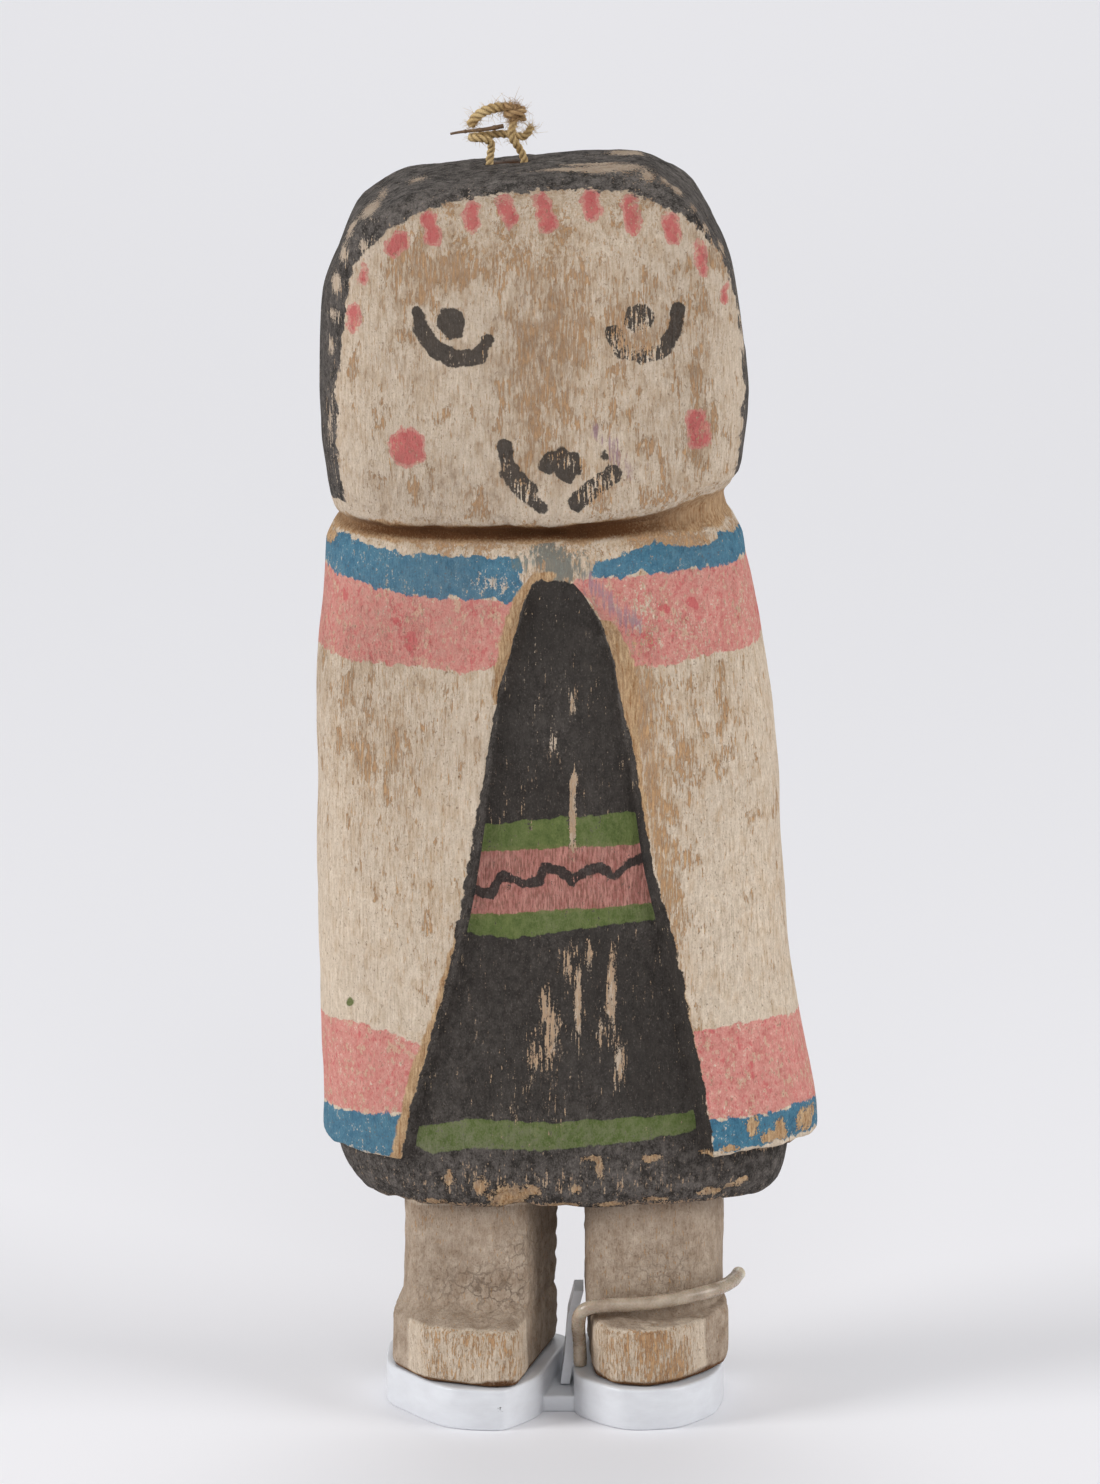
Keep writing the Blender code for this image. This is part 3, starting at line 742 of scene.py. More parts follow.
    def bright_paints(self, grain: Grain, colour: Paint) -> Paint:
        """Lays the pink and blue bands, the marks and smudges, and pits them.

        Args:
            grain: The shared noises.
            colour: What lies below.

        Returns:
            The colour.
        """
        bench = grain.bench
        fibre, speck, dots, blotch = grain.fibre, grain.speck, grain.dots, grain.blotch
        kept = 1 - grain.thin
        stains = dots * 0.5 + grain.mottle * 0.5
        pink = bench.toned(blotch, self.pink)
        pink = bench.mix(stains.rise(0.54, 0.62) * 0.6, pink, self.deep_pink)
        pink = bench.mix((1 - stains).rise(0.53, 0.60) * 0.6, pink, self.stain.light)
        pink = bench.mix((fibre * 0.5 + speck * 0.5).rise(0.56, 0.66) * 0.35, pink, self.pit)
        colour = bench.mix(grain.mask("pink_paint", 1.0, 0.14) * kept * 0.94, colour, pink)
        deep = (bench.field("deep_pink") + grain.border).rise(-0.1, 0.15) * kept
        colour = bench.mix(deep * (0.30 + (blotch * 0.5).most(0.0)), colour, self.deep_pink)
        blue = grain.mask("blue_paint", 1.3, 0.14) * (1 - grain.thin * 0.8)
        colour = bench.mix(blue * 0.95, colour, bench.toned(grain.tone, self.blue))
        for name, tint in (("smudge", self.smudge), ("lilac", self.lilac)):
            patch = bench.field(name) + (grain.streak - 0.5) * 8.0 + grain.border
            colour = bench.mix(patch.rise(-0.5, 0.9) * 0.75, colour, tint)
        return bench.mix((1 - dots * 0.5 - speck * 0.5).rise(0.57, 0.66) * 0.6, colour, self.pit)

    def dress_paints(self, grain: Grain, colour: Paint) -> tuple[Paint, Value, Value, Value]:
        """Lays the black of the hair and dress, the belt, the greens and the thin strokes.

        Args:
            grain: The shared noises.
            colour: What lies below.

        Returns:
            The colour, where the black is, where any of these paints is, and the strokes.
        """
        bench = grain.bench
        fibre, speck = grain.fibre, grain.speck
        kept, inked = 1 - grain.thin, 1 - grain.rubbed
        blackened = grain.mask("black_paint")
        colour = bench.mix(blackened * 0.5, colour, self.rubbed)
        black = bench.toned(grain.tone, self.black)
        black = bench.mix((speck * 0.6 + fibre * 0.4).rise(0.54, 0.70) * 0.35, black, self.dust)
        ink = blackened * inked
        colour = bench.mix(ink * 0.98, colour, black)
        belt = bench.toned(grain.lines * 0.5 + grain.blotch * 0.5, self.belt)
        belt = bench.mix((1 - fibre).rise(0.46, 0.62) * 0.5, belt, self.pit)
        belt_mask = grain.mask("belt_paint", 0.6)
        colour = bench.mix(belt_mask * kept * 0.92, colour, belt)
        green_mask = grain.mask("green_paint", 0.6) * kept
        colour = bench.mix(green_mask * 0.95, colour, bench.toned(grain.tone, self.green))
        strokes = grain.mask("ink_strokes", 0.8)
        colour = bench.mix(strokes * inked * 0.95, colour, black)
        return colour, ink, ink.most(green_mask).most(belt_mask), strokes

    def soil_and_shade(self, grain: Grain, colour: Paint, ink: Value, strokes: Value) -> Paint:
        """Lays dirt and painted shade on the paints, dust on the black, and painted shade in the
        deep cuts.

        Args:
            grain: The shared noises.
            colour: What lies below.
            ink: Where the black is.
            strokes: Where the thin strokes are, which stay cleaner.

        Returns:
            The colour.
        """
        bench = grain.bench
        dirt_and_shade, cut_shade = bench.field("dirt_and_shade"), bench.field("cut_shade")
        cloudy = grain.mottle + grain.lumps
        dirt_and_shade_spots = dirt_and_shade * ((cloudy - 1.0) * 2.0 + 1.0)
        settled = dirt_and_shade * ((cloudy + grain.speck - 1.5) * 5.0 + 1.0).most(0.0)
        painted = bench.mix(dirt_and_shade_spots * (1 - strokes * 0.7), colour, self.dirt_and_shade)
        colour = bench.mix(ink, painted, bench.mix(settled, colour, self.dust))
        # Painted shade in the cuts and under the soles.
        dark = cut_shade + cut_shade * (grain.speck - 0.5) * 1.6
        return bench.mix(dark.rise(0.0, 1.0), colour, self.cut_shade_colour)


@dataclass(frozen=True)
class WhiteMetal:
    """Glossy white paint brushed on sawn metal."""

    tones: Tones = Tones(linear(214, 215, 219), linear(226, 228, 232))
    scuff: Colour = linear(74, 72, 72)
    scuff_at: Place = (-7.4, -21.2, 3.4)
    scuff_reach: float = 0.9

    def build(self, origin: Vector) -> bpy.types.Material:
        """Paints in soft brush patches, with one dark scuff on the front edge.

        Args:
            origin: Where the doll's own zero stands in the frame.

        Returns:
            The material.
        """
        bench = Bench("white_painted_metal")
        patches = bench.noise((0.22, 0.22, 0.5), 3.0)
        brushed = bench.noise((0.5, 0.5, 2.4), 3.0)
        colour = bench.toned(patches.spread(2.0), self.tones)
        source = bench.node("ShaderNodeTexCoord").outputs["Object"]
        at = tuple(part * MM + shift for part, shift in zip(self.scuff_at, origin))
        away = bench.vectors("DISTANCE", source, at)
        near = Value(bench, away.outputs["Value"]) * (1 / (self.scuff_reach * MM))
        spots = (bench.noise((2.2, 2.2, 2.2), 2.0) - near * 0.25).rise(0.42, 0.5)
        colour = bench.mix(spots * (1 - near.rise(0.8, 1.3)), colour, self.scuff)
        bench.bump(patches * 0.05 + brushed * 0.03)
        return bench.shade(
            {
                "Base Color": colour,
                "Roughness": 0.34 + (patches - 0.5) * 0.2,
                "Specular IOR Level": 0.5,
                "Coat Weight": 0.15,
            }
        )


@dataclass(frozen=True)
class SleevedWire:
    """A soft beige sleeve with a satin gloss, paler at its cut end."""

    tones: Tones = Tones(linear(142, 124, 106), linear(188, 172, 152))
    tip: Colour = linear(198, 186, 162)

    def build(self) -> bpy.types.Material:
        """Lays grey-beige rubber, paler at the end that the field tip keeps.

        Returns:
            The material.
        """
        bench = Bench("wire_sleeve_satin")
        cloudy = bench.noise((0.35, 0.35, 0.35), 3.0)
        dust = bench.noise((3.0, 3.0, 3.0), 2.0)
        colour = bench.toned(cloudy.spread(2.2), self.tones)
        colour = bench.mix(bench.field("tip"), colour, self.tip)
        bench.bump(cloudy * 0.06 + dust * 0.015)
        return bench.shade(
            {
                "Base Color": colour,
                "Roughness": 0.28 + (dust - 0.5) * 0.2,
                "Subsurface Weight": 0.15,
                "Subsurface Scale": 0.001,
            }
        )


@dataclass(frozen=True)
class PlantFibre:
    """Straw-coloured fibre, with painted shade in the lay between the strands."""

    tones: Tones = Tones(linear(156, 118, 62), linear(242, 214, 160))
    # Painted shade in the hollows between the strands.
    shadow: Colour = linear(92, 62, 30)
    rust: Colour = linear(138, 88, 62)

    def build(self) -> bpy.types.Material:
        """Mixes dull and pale fibres, with painted shade in the hollows that a kept field marks.

        Returns:
            The material.
        """
        bench = Bench("twisted_plant_fibre")
        hairs = bench.noise((5.0, 5.0, 5.0), 4.0, 0.65)
        patches = bench.noise((0.5, 0.5, 0.5), 2.0)
        colour = bench.toned((hairs * 0.6 + patches * 0.4).spread(3.0, 0.55), self.tones)
        colour = bench.mix(bench.field("rust") * 0.55, colour, self.rust)
        colour = bench.mix(bench.field("lay") * 0.85, colour, self.shadow)
        bench.bump(hairs * 0.18)
        return bench.shade({"Base Color": colour, "Roughness": 0.82, "Specular IOR Level": 0.35})


@dataclass(frozen=True)
class DryStem:
    """Thin dry bark in streaky browns."""

    tones: Tones = Tones(linear(82, 60, 42), linear(140, 112, 84))

    def build(self) -> bpy.types.Material:
        """Lays streaky brown bark with fine wrinkles.

        Returns:
            The material.
        """
        bench = Bench("dry_twig_bark")
        wrinkles = bench.noise((1.4, 6.0, 6.0), 3.0)
        colour = bench.toned(wrinkles.spread(3.0), self.tones)
        bench.bump(wrinkles * 0.08)
        return bench.shade({"Base Color": colour, "Roughness": 0.75})


@dataclass
class Studio:
    """The camera, the soft lights and a wide pale floor."""

    lens_reach: float = 1250.0
    eye_height: float = 390.085
    pitch: float = 13.0
    focal_pixels: float = 8533.0
    sensor: float = 36.0
    floor_colour: Colour = linear(241, 240, 243)
    floor_reach: float = 6.0
    room_colour: Colour = (0.95, 0.97, 1.0)
    room_strength: float = 0.30
    # (name, place, the point it faces, size, watts)
    lamps: tuple[tuple[str, Place, Place, float, float], ...] = (
        ("soft_box_left", (-1.15, -0.36, 0.54), (0.0, 0.0, 0.1), 0.48, 9.7),
        ("soft_box_right", (1.15, -0.42, 0.62), (0.0, 0.0, 0.1), 0.75, 8.6),
        ("soft_box_front", (0.15, -1.35, 0.95), (0.0, 0.0, 0.1), 0.90, 4.4),
        ("soft_box_top", (0.0, 0.85, 1.40), (0.0, 0.3, 0.0), 1.1, 2.9),
        ("soft_box_far", (0.0, 2.0, 1.50), (0.0, 2.0, 0.0), 1.6, 16.0),
    )

    def build(self, origin: Vector) -> None:
        """Places the camera first, then the floor and the lights.

        Args:
            origin: Where the doll's own zero stands in the frame.
        """
        self.add_camera(origin)
        self.add_floor()
        self.add_lights()

    def add_camera(self, origin: Vector) -> None:
        """Looks down at the doll as the picture does, from straight in front.

        Args:
            origin: Where the doll's own zero stands in the frame.
        """
        data = bpy.data.cameras.new("studio_camera")
        data.sensor_fit = "VERTICAL"
        data.sensor_height = self.sensor
        data.lens = self.sensor * self.focal_pixels / PHOTO_HEIGHT
        data.clip_start = 0.05
        camera = bpy.data.objects.new("studio_camera", data)
        camera.location = (origin.x, origin.y - self.lens_reach * MM, self.eye_height * MM)
        camera.rotation_euler = (math.radians(90 - self.pitch), 0.0, 0.0)
        bpy.context.scene.collection.objects.link(camera)
        bpy.context.scene.camera = camera

    def add_floor(self) -> None:
        """A flat pale floor, wide enough to lie behind the doll from every side."""
        reach = self.floor_reach
        corners = [(-reach, -reach, 0), (reach, -reach, 0), (reach, reach, 0), (-reach, reach, 0)]
        mesh = bpy.data.meshes.new("pale_floor")
        mesh.from_pydata(corners, [], [(0, 1, 2, 3)])
        floor = bpy.data.objects.new("pale_floor", mesh)
        bench = Bench("pale_paper")
        mesh.materials.append(bench.shade({"Base Color": self.floor_colour, "Roughness": 0.9}))
        bpy.context.scene.collection.objects.link(floor)

    def add_lights(self) -> None:
        """Wide soft boxes, the left one stronger, and an even room light."""
        for name, place, aim, size, power in self.lamps:
            data = bpy.data.lights.new(name, "AREA")
            data.shape = "SQUARE"
            data.size = size
            data.energy = power
            lamp = bpy.data.objects.new(name, data)
            lamp.location = place
            facing = Vector(place) - Vector(aim)
            lamp.rotation_euler = facing.to_track_quat("Z", "Y").to_euler()
            bpy.context.scene.collection.objects.link(lamp)
        world = bpy.data.worlds.new("even_room_light")
        world.use_nodes = True
        background = world.node_tree.nodes["Background"]
        background.inputs["Color"].default_value = (*self.room_colour, 1.0)
        background.inputs["Strength"].default_value = self.room_strength
        bpy.context.scene.world = world
        bpy.context.scene.view_settings.view_transform = "Standard"


@dataclass(frozen=True)
class Skin:
    """The carved doll's points, and what the paints need to know about each of them."""

    points: np.ndarray
    # The depth inside the carved dress, negative on the cape.
    dress: np.ndarray
    # The distance from the cape's cut edge, negative down its wall.
    lip: np.ndarray
    # The height of the point's ring before the neck's edge was lifted.
    row: np.ndarray


@dataclass
class DollPaint:
    """Where each paint lies: x and height on the front, or turn and height round the body."""

    leg_top: float = 26.3
    toe_top: float = 8.6
    toe_front: float = -13.0
    cape_bottom: float = 34.4
    hair_bottom: float = 133.6
    face_border: Route = (
        (-29.5, 128), (-30.1, 132.9), (-31.1, 138.3), (-31.5, 144.8), (-31.5, 151.4),
        (-30.9, 156.2), (-30, 163.8), (-28.9, 169.9), (-26.8, 172.2), (-25, 174.1), (-23.4, 175.8),
        (-21.2, 177.1), (-18.3, 178.3), (-15.4, 179.2), (-12.5, 179.8), (-9.1, 180.3),
        (-1.5, 180.8), (5.1, 181), (11.1, 180.7), (14.5, 179.8), (19.5, 177.6), (22.9, 174.4),
        (24.7, 171.9), (26.3, 168.8), (27.4, 163.5), (28.4, 157.4), (28.7, 150.7), (28.3, 143.9),
        (27.4, 137.5), (26.5, 128),
    )
    strokes: tuple[tuple[float, Route], ...] = (
        (2, ((-19.3, 163.4), (-18.9, 161))),
        (2.6, ((-18.6, 160.6), (-16.7, 157.9), (-13.3, 156.6), (-10.4, 157.2))),
        (1.7, ((-10.4, 157.4), (-9.1, 159.6))), (4, ((-14.6, 162.4), (-14.3, 161.8))),
        (2.1, ((18.8, 163.9), (18.3, 160.4), (16.6, 158.2))),
        (2.3, ((16.4, 157.9), (13.2, 157.2), (10.5, 158.2), (9.3, 160.7))),
        (4, ((12.9, 163), (13.2, 162.5))),
        (2.4, ((-0.6, 140.9), (0.4, 142), (1.8, 142.3), (3.2, 141.8), (3.7, 140.6))),
        (2.6, ((1.6, 141.2), (2.4, 139.6))), (2.3, ((-6.8, 143.4), (-5.9, 140))),
        (3.2, ((-5.8, 139.8), (-3.4, 136.9))), (1.8, ((-3, 136.4), (-1.3, 134.4))),
        (2.7, ((3.9, 135.2), (6.4, 137.4))), (2.9, ((6.6, 137.6), (9, 139.4))),
        (1.1, ((8.2, 142.7), (8, 142.2))),
        (1.45, ((-11.1, 76.1), (-8.8, 75.6), (-7, 78.5), (-3.9, 77.2), (-1.8, 77.4),
                (-0.8, 79.8), (1.7, 79), (3.3, 77.4), (5.3, 79), (7.4, 79.8), (9.4, 78.2),
                (12, 80.2), (14, 81.2))),
    )
    pink_marks: tuple[tuple[float, Route], ...] = (
        (1.3, ((-27.2, 170.2), (-27.5, 167.4))), (3, ((-21.9, 174.2), (-22.8, 173.2))),
        (2.8, ((-17.7, 177), (-17, 174.8))), (2.5, ((-11.4, 178.4), (-11.6, 176.3))),
        (2.5, ((-6.7, 179.3), (-5.9, 177.1))), (2.8, ((-1.2, 179.4), (-0.2, 176.3))),
        (2.8, ((5.9, 179.8), (6.2, 178.1))), (2.7, ((11.6, 179.2), (12.2, 176.3))),
        (2.4, ((17.6, 177), (18, 174.5))), (1.9, ((21.8, 173), (22.3, 169.4))),
        (2.2, ((-28.9, 163), (-28.9, 161))), (1.2, ((25.7, 166.6), (25.8, 164.4))),
        (5.6, ((-21, 143.7), (-21, 142.9))), (3.8, ((21.6, 147), (22, 144.9))),
        (1.6, ((23, 143.9), (21, 143.3))),
    )
    cape_blue_low: Route = (
        (-180, 121.5), (-110, 122.5), (-82, 123.3), (-75, 122.8), (-67, 122.4), (-61, 121.7),
        (-52, 120.9), (-37, 120.7), (-18, 120.4), (0, 123), (17, 123.6), (36, 124.1), (49, 124.5),
        (64, 124.7), (78, 124.6), (110, 124), (180, 121.5),
    )
    cape_blue_high: Route = (
        (-180, 127), (-110, 127.6), (-88, 127.8), (-73, 128.7), (-64, 127.6), (-55, 127.1),
        (-39, 126.8), (-15, 126.9), (0, 126), (17, 125.6), (25, 126.5), (35, 127.5), (44, 128.7),
        (52, 128), (62, 127.8), (68, 128.9), (88, 128.6), (180, 127),
    )
    cape_pink_low: Route = (
        (-180, 110.5), (-79, 110.9), (-66, 110.2), (-49, 110.2), (-34, 109.5), (-24, 110.5),
        (35, 110.4), (47, 110.6), (58, 111.6), (77, 111.8), (90, 112.4), (180, 110.5),
    )
    hem_pink_high: Route = (
        (-180, 54), (-80, 54.3), (-69, 55.1), (-61, 54.8), (-54, 53.6), (-47, 52.2), (52, 54.7),
        (64, 55), (71, 55.3), (87, 54.2), (180, 54),
    )
    hem_middle: Route = (
        (-180, 40.6), (-82, 40.4), (-68, 40.9), (-60, 40.9), (-53, 41.7), (54, 40.8), (61, 40.7),
        (68, 40.8), (74, 41.4), (87, 40.6), (180, 40.6),
    )
    hem_blue_low: Route = (
        (-180, 35), (-80, 34.4), (-64, 35), (-56, 35), (54, 35.3), (60, 35.6), (68, 36.4),
        (73, 36.7), (90, 36), (180, 35),
    )
    dress_top: float = 123.3
    belt_green_high: tuple[Route, Route] = (
        ((-10, 82.1), (1.5, 82.6), (13, 83.1)), ((-10, 86.1), (1.5, 87.2), (12.5, 88))
    )
    belt_pink: tuple[Route, Route] = (
        ((-12.1, 71.9), (1.5, 72.7), (14, 73.6)), ((-10, 82.6), (1.5, 83.1), (13, 83.6))
    )
    belt_green_low: tuple[Route, Route] = (
        ((-13.6, 69.8), (-5.4, 68.7), (2.8, 70.1), (14.6, 71.4)),
        ((-13.1, 72.3), (1.5, 73.1), (14.6, 74)),
    )
    dress_green: tuple[Route, Route] = (
        ((-20.6, 36.7), (-18.2, 35.3), (-12.1, 36.4), (-1.2, 36.1), (6.3, 36.7), (13.8, 37.5),
         (23.2, 38.9)),
        ((-18.9, 39.5), (-12.1, 40.9), (-8.1, 40.8), (-0.1, 40.2), (6.3, 40.8), (13.8, 41.1),
         (21.1, 41.6), (22.9, 42.1)),
    )
    belt_gap: float = 0.3
    # (x, height, reach across, reach up, amount) of the cracked coat on the insteps.
    cracked: tuple[Place, ...] = (
        (-9, 13, 9, 4, 0.8), (-4, 18, 4, 5, 0.6), (16, 16, 9, 5, 0.35),
    )
    # (height, how far the black runs over the cape's cut edge, how wide that edge is bare)
    left_edge: Route = (
        (34, -0.3, 1.5), (45, -0.3, 1.3), (56, -0.4, 0.9), (66, -0.1, 0.8), (72, 0.5, 0.2),
        (80, 0.5, 0), (90, 0.2, 0), (95, -0.6, 0), (104, -0.7, 0), (107.5, -1.1, 0.6),
        (110.3, -1.8, 1.2), (116.2, -1.7, 1.5), (119.2, -1.2, 1.2), (122.2, -0.8, 0.9),
        (124.5, -0.5, 0.6),
    )
    right_edge: Route = (
        (34, 0.3, 0), (45, 0.3, 0.3), (60, 0.4, 0.6), (70, 0.7, 0.3), (76, 0.3, 0), (82, -0.3, 0),
        (89, -0.8, 0.2), (98, -1, 0.4), (102, -1.4, 0.8), (104.5, -2.2, 1), (107.3, -2.7, 1.2),
        (113, -2.9, 0.8), (117.5, -2.5, 0), (122, -2, 0), (124.5, -1.3, 0),
    )
    # (x, height, reach across, reach up) of places where every layer has come off.
    bare_patches: tuple[Place, ...] = (
        (-6.2, 28.6, 3.4, 1.7), (-3.4, 29.4, 1.6, 1), (-10.5, 30.4, 1, 1.4),
        (-15.3, 31.5, 0.6, 1.2), (6.6, 34.6, 1.9, 0.5), (7.4, 33.2, 0.7, 1.3),
        (15, 34.6, 1.3, 0.6), (4, 30, 0.8, 0.8), (24.2, 28.6, 1.6, 0.6), (15.5, 27.9, 2, 0.5),
        (9, 27.3, 2.2, 0.5), (-17, 27.4, 2.2, 0.5), (2, 27.2, 2.4, 0.5), (27.6, 29.3, 1.3, 0.5),
        (29, 30, 0.9, 0.4), (30.3, 39.4, 0.9, 1.5), (33.6, 37.3, 2.1, 0.9), (34.6, 38.6, 0.8, 1.2),
        (38.6, 38.6, 1.5, 1.7), (26.6, 36.1, 1.8, 0.45), (23.8, 35.2, 1.5, 0.35),
        (33.2, 127.4, 0.6, 0.8), (-33.2, 127.9, 1.4, 1.2),
    )
    patch_depth: float = 1.1
    # (x, height, reach across, reach up, wear) of the ground on the front.
    front_wear: tuple[Place, ...] = (
        (-3, 157, 7, 17, 0.24), (4, 162, 3, 7, 0.14), (-20, 168, 7, 5, 0.22),
        (-12, 172, 7, 4, 0.22), (-2, 150, 4, 7, 0.12), (-11, 135, 3.5, 3, 0.24),
        (22, 156, 3.5, 20, 0.25), (10, 150, 9, 14, 0.14), (13.5, 160.5, 5.5, 4.5, 0.22),
        (-6, 140, 5, 4, 0.10), (7.5, 138, 3.5, 4, 0.16), (22, 145, 3, 4, 0.16),
        (1, 126, 4.5, 3, 0.45), (18, 128.6, 9, 1.2, 0.45), (-14, 128.4, 14, 0.8, 0.30),
        (7, 112, 3.5, 14, 0.12), (16, 96, 5, 14, 0.10), (24, 100, 6, 12, 0.10),
        (-28, 98, 9, 16, 0.16), (-24, 70, 9, 9, 0.08),
    )
    # (x, height, reach across, reach up, wear) of thin places in the paints.
    thin_paint: tuple[Place, ...] = (
        (12.6, 159.6, 5, 4.6, 0.34), (18.2, 161.5, 1.4, 3, -0.25), (-12, 156.6, 4, 1.6, 0.12),
        (7.5, 138, 3, 3.6, 0.30), (-4, 136.5, 2, 2.5, 0.33), (-6.4, 141, 1, 1.6, 0.22),
        (2.6, 141.2, 1.8, 1.2, 0.16), (22, 145, 3, 4, 0.16), (-0.8, 58, 0.7, 3.5, 0.50),
        (0.6, 54, 1, 6, 0.42), (-2.4, 51, 1.2, 4, 0.26), (4.2, 58.5, 0.4, 6.5, 0.62),
        (2.6, 65, 0.8, 2.6, 0.42), (5.8, 66, 0.5, 2.6, 0.40), (9.2, 60.5, 0.6, 5, 0.62),
        (10.4, 49.5, 1, 4.2, 0.46), (7.6, 54, 0.5, 3.5, 0.42), (3.3, 86, 0.45, 5, 0.80),
        (3.6, 92.5, 0.6, 2, 0.40), (3.4, 104.6, 0.6, 1.8, 0.40), (0.4, 99.4, 0.8, 2.4, 0.24),
        (-8, 122.8, 3.4, 1.4, 0.27), (-17, 61, 1, 3, 0.20), (-6, 46, 5, 7, 0.10),
        (0, 31, 22, 2.2, 0.16), (24, 116, 9, 5, 0.12), (13, 118, 2.4, 6, 0.18),
    )
    # (x, y, height, reach across, reach back, reach up, wear) of the hair.
    head_wear: tuple[Place, ...] = (
        (-26.4, -8, 177.1, 1.8, 6, 1.1, 0.72), (-24.4, 0, 178, 1, 5, 1, 0.45),
        (-29, -9, 174.2, 1.2, 4, 1.6, 0.70), (-30.2, -11, 171.2, 0.9, 3, 1.4, 0.60),
        (-31.4, -11, 166.8, 0.8, 3, 1.8, 0.62), (-31.9, -11, 162, 0.8, 3, 1.1, 0.50),
        (-32.3, -10, 157.4, 0.7, 3, 1.6, 0.40), (-27.4, -14, 173, 0.8, 3, 1.2, 0.50),
        (-32.4, -11, 146, 0.7, 5, 6, 0.25), (-19.6, 0, 180.2, 1.4, 3, 1.2, 0.40),
        (3, -6.4, 182.6, 6, 1.1, 2, 0.52), (8.4, -5.6, 183, 6, 3.2, 2, 0.70),
        (6, -1, 182.9, 4, 1.2, 2, 0.50), (11.5, 7.5, 183.1, 2.6, 2.4, 2, 0.76),
        (14.4, -9.6, 182.3, 1, 2, 1.2, 0.52), (16.8, -9, 181.4, 0.8, 2, 1, 0.50),
        (18.8, -10, 180.4, 1.2, 2.6, 0.9, 0.68), (20.6, -13, 178, 0.9, 2.4, 0.8, 0.54),
        (22.6, -14, 175.4, 0.8, 2.4, 1, 0.50), (25.2, -10, 171.8, 0.7, 4, 1.4, 0.42),
        (28.2, -6, 158, 0.8, 3, 9, 0.30), (-20, 17, 172, 6, 6, 7, 0.20),
        (14, 18, 150, 9, 6, 12, 0.18), (-34, 4, 150, 3, 5, 12, 0.26), (29, 6, 162, 3, 6, 12, 0.20),
    )
    # (x, height, reach across, reach up, amount) of dirt over the ground and the paints, with
    # painted shade darkening the left side and painted light on the lower right.
    dirt_and_shade_spots: tuple[Place, ...] = (
        (-3, 157, 9, 20, 0.12), (-18, 136, 13, 6, 0.18), (-22, 160, 10, 14, 0.08),
        (-26, 102, 16, 15, 0.16), (-20, 118, 16, 7, 0.12), (16, 160, 12, 18, 0.05),
        (8, 112, 3.5, 10, 0.18), (24, 64, 14, 30, -0.14),
    )
    smudges: tuple[tuple[float, Route], ...] = (
        (4.6, ((-0.3, 127.2), (1.8, 125))), (1.6, ((-4.4, 126), (-1, 126.6))),
        (1.2, ((4.2, 126.6), (5, 124.4))),
    )
    lilac_marks: tuple[tuple[float, Route], ...] = (
        (2, ((6.2, 122.9), (9, 120), (12.4, 116.8))), (1.5, ((7.3, 146.2), (11.8, 140.1))),
    )
    deep_marks: tuple[tuple[float, Route], ...] = (
        (1.6, ((-20.6, 114.8), (-20.2, 113))), (1, ((-23, 117), (-22, 116.4))),
        (1, ((30, 48.6), (30.3, 47))), (0.9, ((16, 119.5), (17.6, 118.8))),
        (0.8, ((-12, 118.5), (-11, 118.3))), (1.2, ((21, 119.6), (21.8, 118.8))),
        (1.5, ((14.2, 115), (15, 113.8))), (1, ((-30.8, 120.2), (-30.2, 119.2))),
        (0.9, ((31, 116.4), (31.4, 115.4))),
    )
    green_dot: Place = (-30.0, 57.8)

    @staticmethod
    def stroke_depth(flat: np.ndarray, strokes: Sequence[tuple[float, Route]]) -> np.ndarray:
        """Depth inside the nearest of several brush strokes, each with its own width."""
        depths = [width / 2 - line_distance(flat, line) for width, line in strokes]
        return np.max(depths, axis=0)

    def fields(self, skin: Skin) -> dict[str, np.ndarray]:
        """Works out every paint's depth and the wear at each point of the doll.

        Args:
            skin: The doll's points.

        Returns:
            The numbers for each point, by name.
        """
        x, y, height = skin.points.T
        flat = skin.points[:, (0, 2)]
        front = y < 0
        over, bare_edge = self.edge_reach(x, height)
        hair = self.hair_depth(skin)
        black = np.where(skin.dress > 0, skin.dress + 1.0, over - skin.lip)
        black = np.minimum(black, self.dress_top - height)
        dressed = (skin.dress > 0) & (height < self.dress_top)
        marks = np.where(front, self.stroke_depth(flat, self.pink_marks), OUTSIDE)
        cracks = np.full(len(x), 0.08)
        for middle, level, across, up, amount in self.cracked:
            near = bell(x - middle, across) * bell(height - level, up)
            cracks = np.maximum(cracks, amount * near)
        on_front = {
            "ink_strokes": self.stroke_depth(flat, self.strokes),
            "smudge": self.stroke_depth(flat, self.smudges),
            "lilac": self.stroke_depth(flat, self.lilac_marks),
            "deep_pink": np.maximum(self.stroke_depth(flat, self.deep_marks), marks - 0.5),
        }
        body = height > self.leg_top
        return {
            "black_paint": np.where(body, np.maximum(hair, black), OUTSIDE),
            "crack": np.where(body, 0, cracks),
            **{name: np.where(front, depth, OUTSIDE) for name, depth in on_front.items()},
            **self.bands(skin, marks),
            **self.belt(skin),
            "raw_wood": self.raw_depth(skin, bare_edge),
            "chipped": self.chip_depth(skin.points),
            "dirt_and_shade": self.dirt_and_shade_share(skin.points, hair, dressed),
            **self.worn_fields(skin, hair, dressed),
        }

    def hair_depth(self, skin: Skin) -> np.ndarray:
        """Measures the hair, which goes round the head's back.

        Args:
            skin: The doll's points.

        Returns:
            The depth inside it.
        """
        x, y, height = skin.points.T
        hair = -inside_depth(skin.points[:, (0, 2)], self.face_border)
        hair = np.where(y < -2, hair, np.maximum(hair, 2.5))
        return np.minimum(hair, height - self.hair_bottom + 0.4 * np.cos(x / 3))

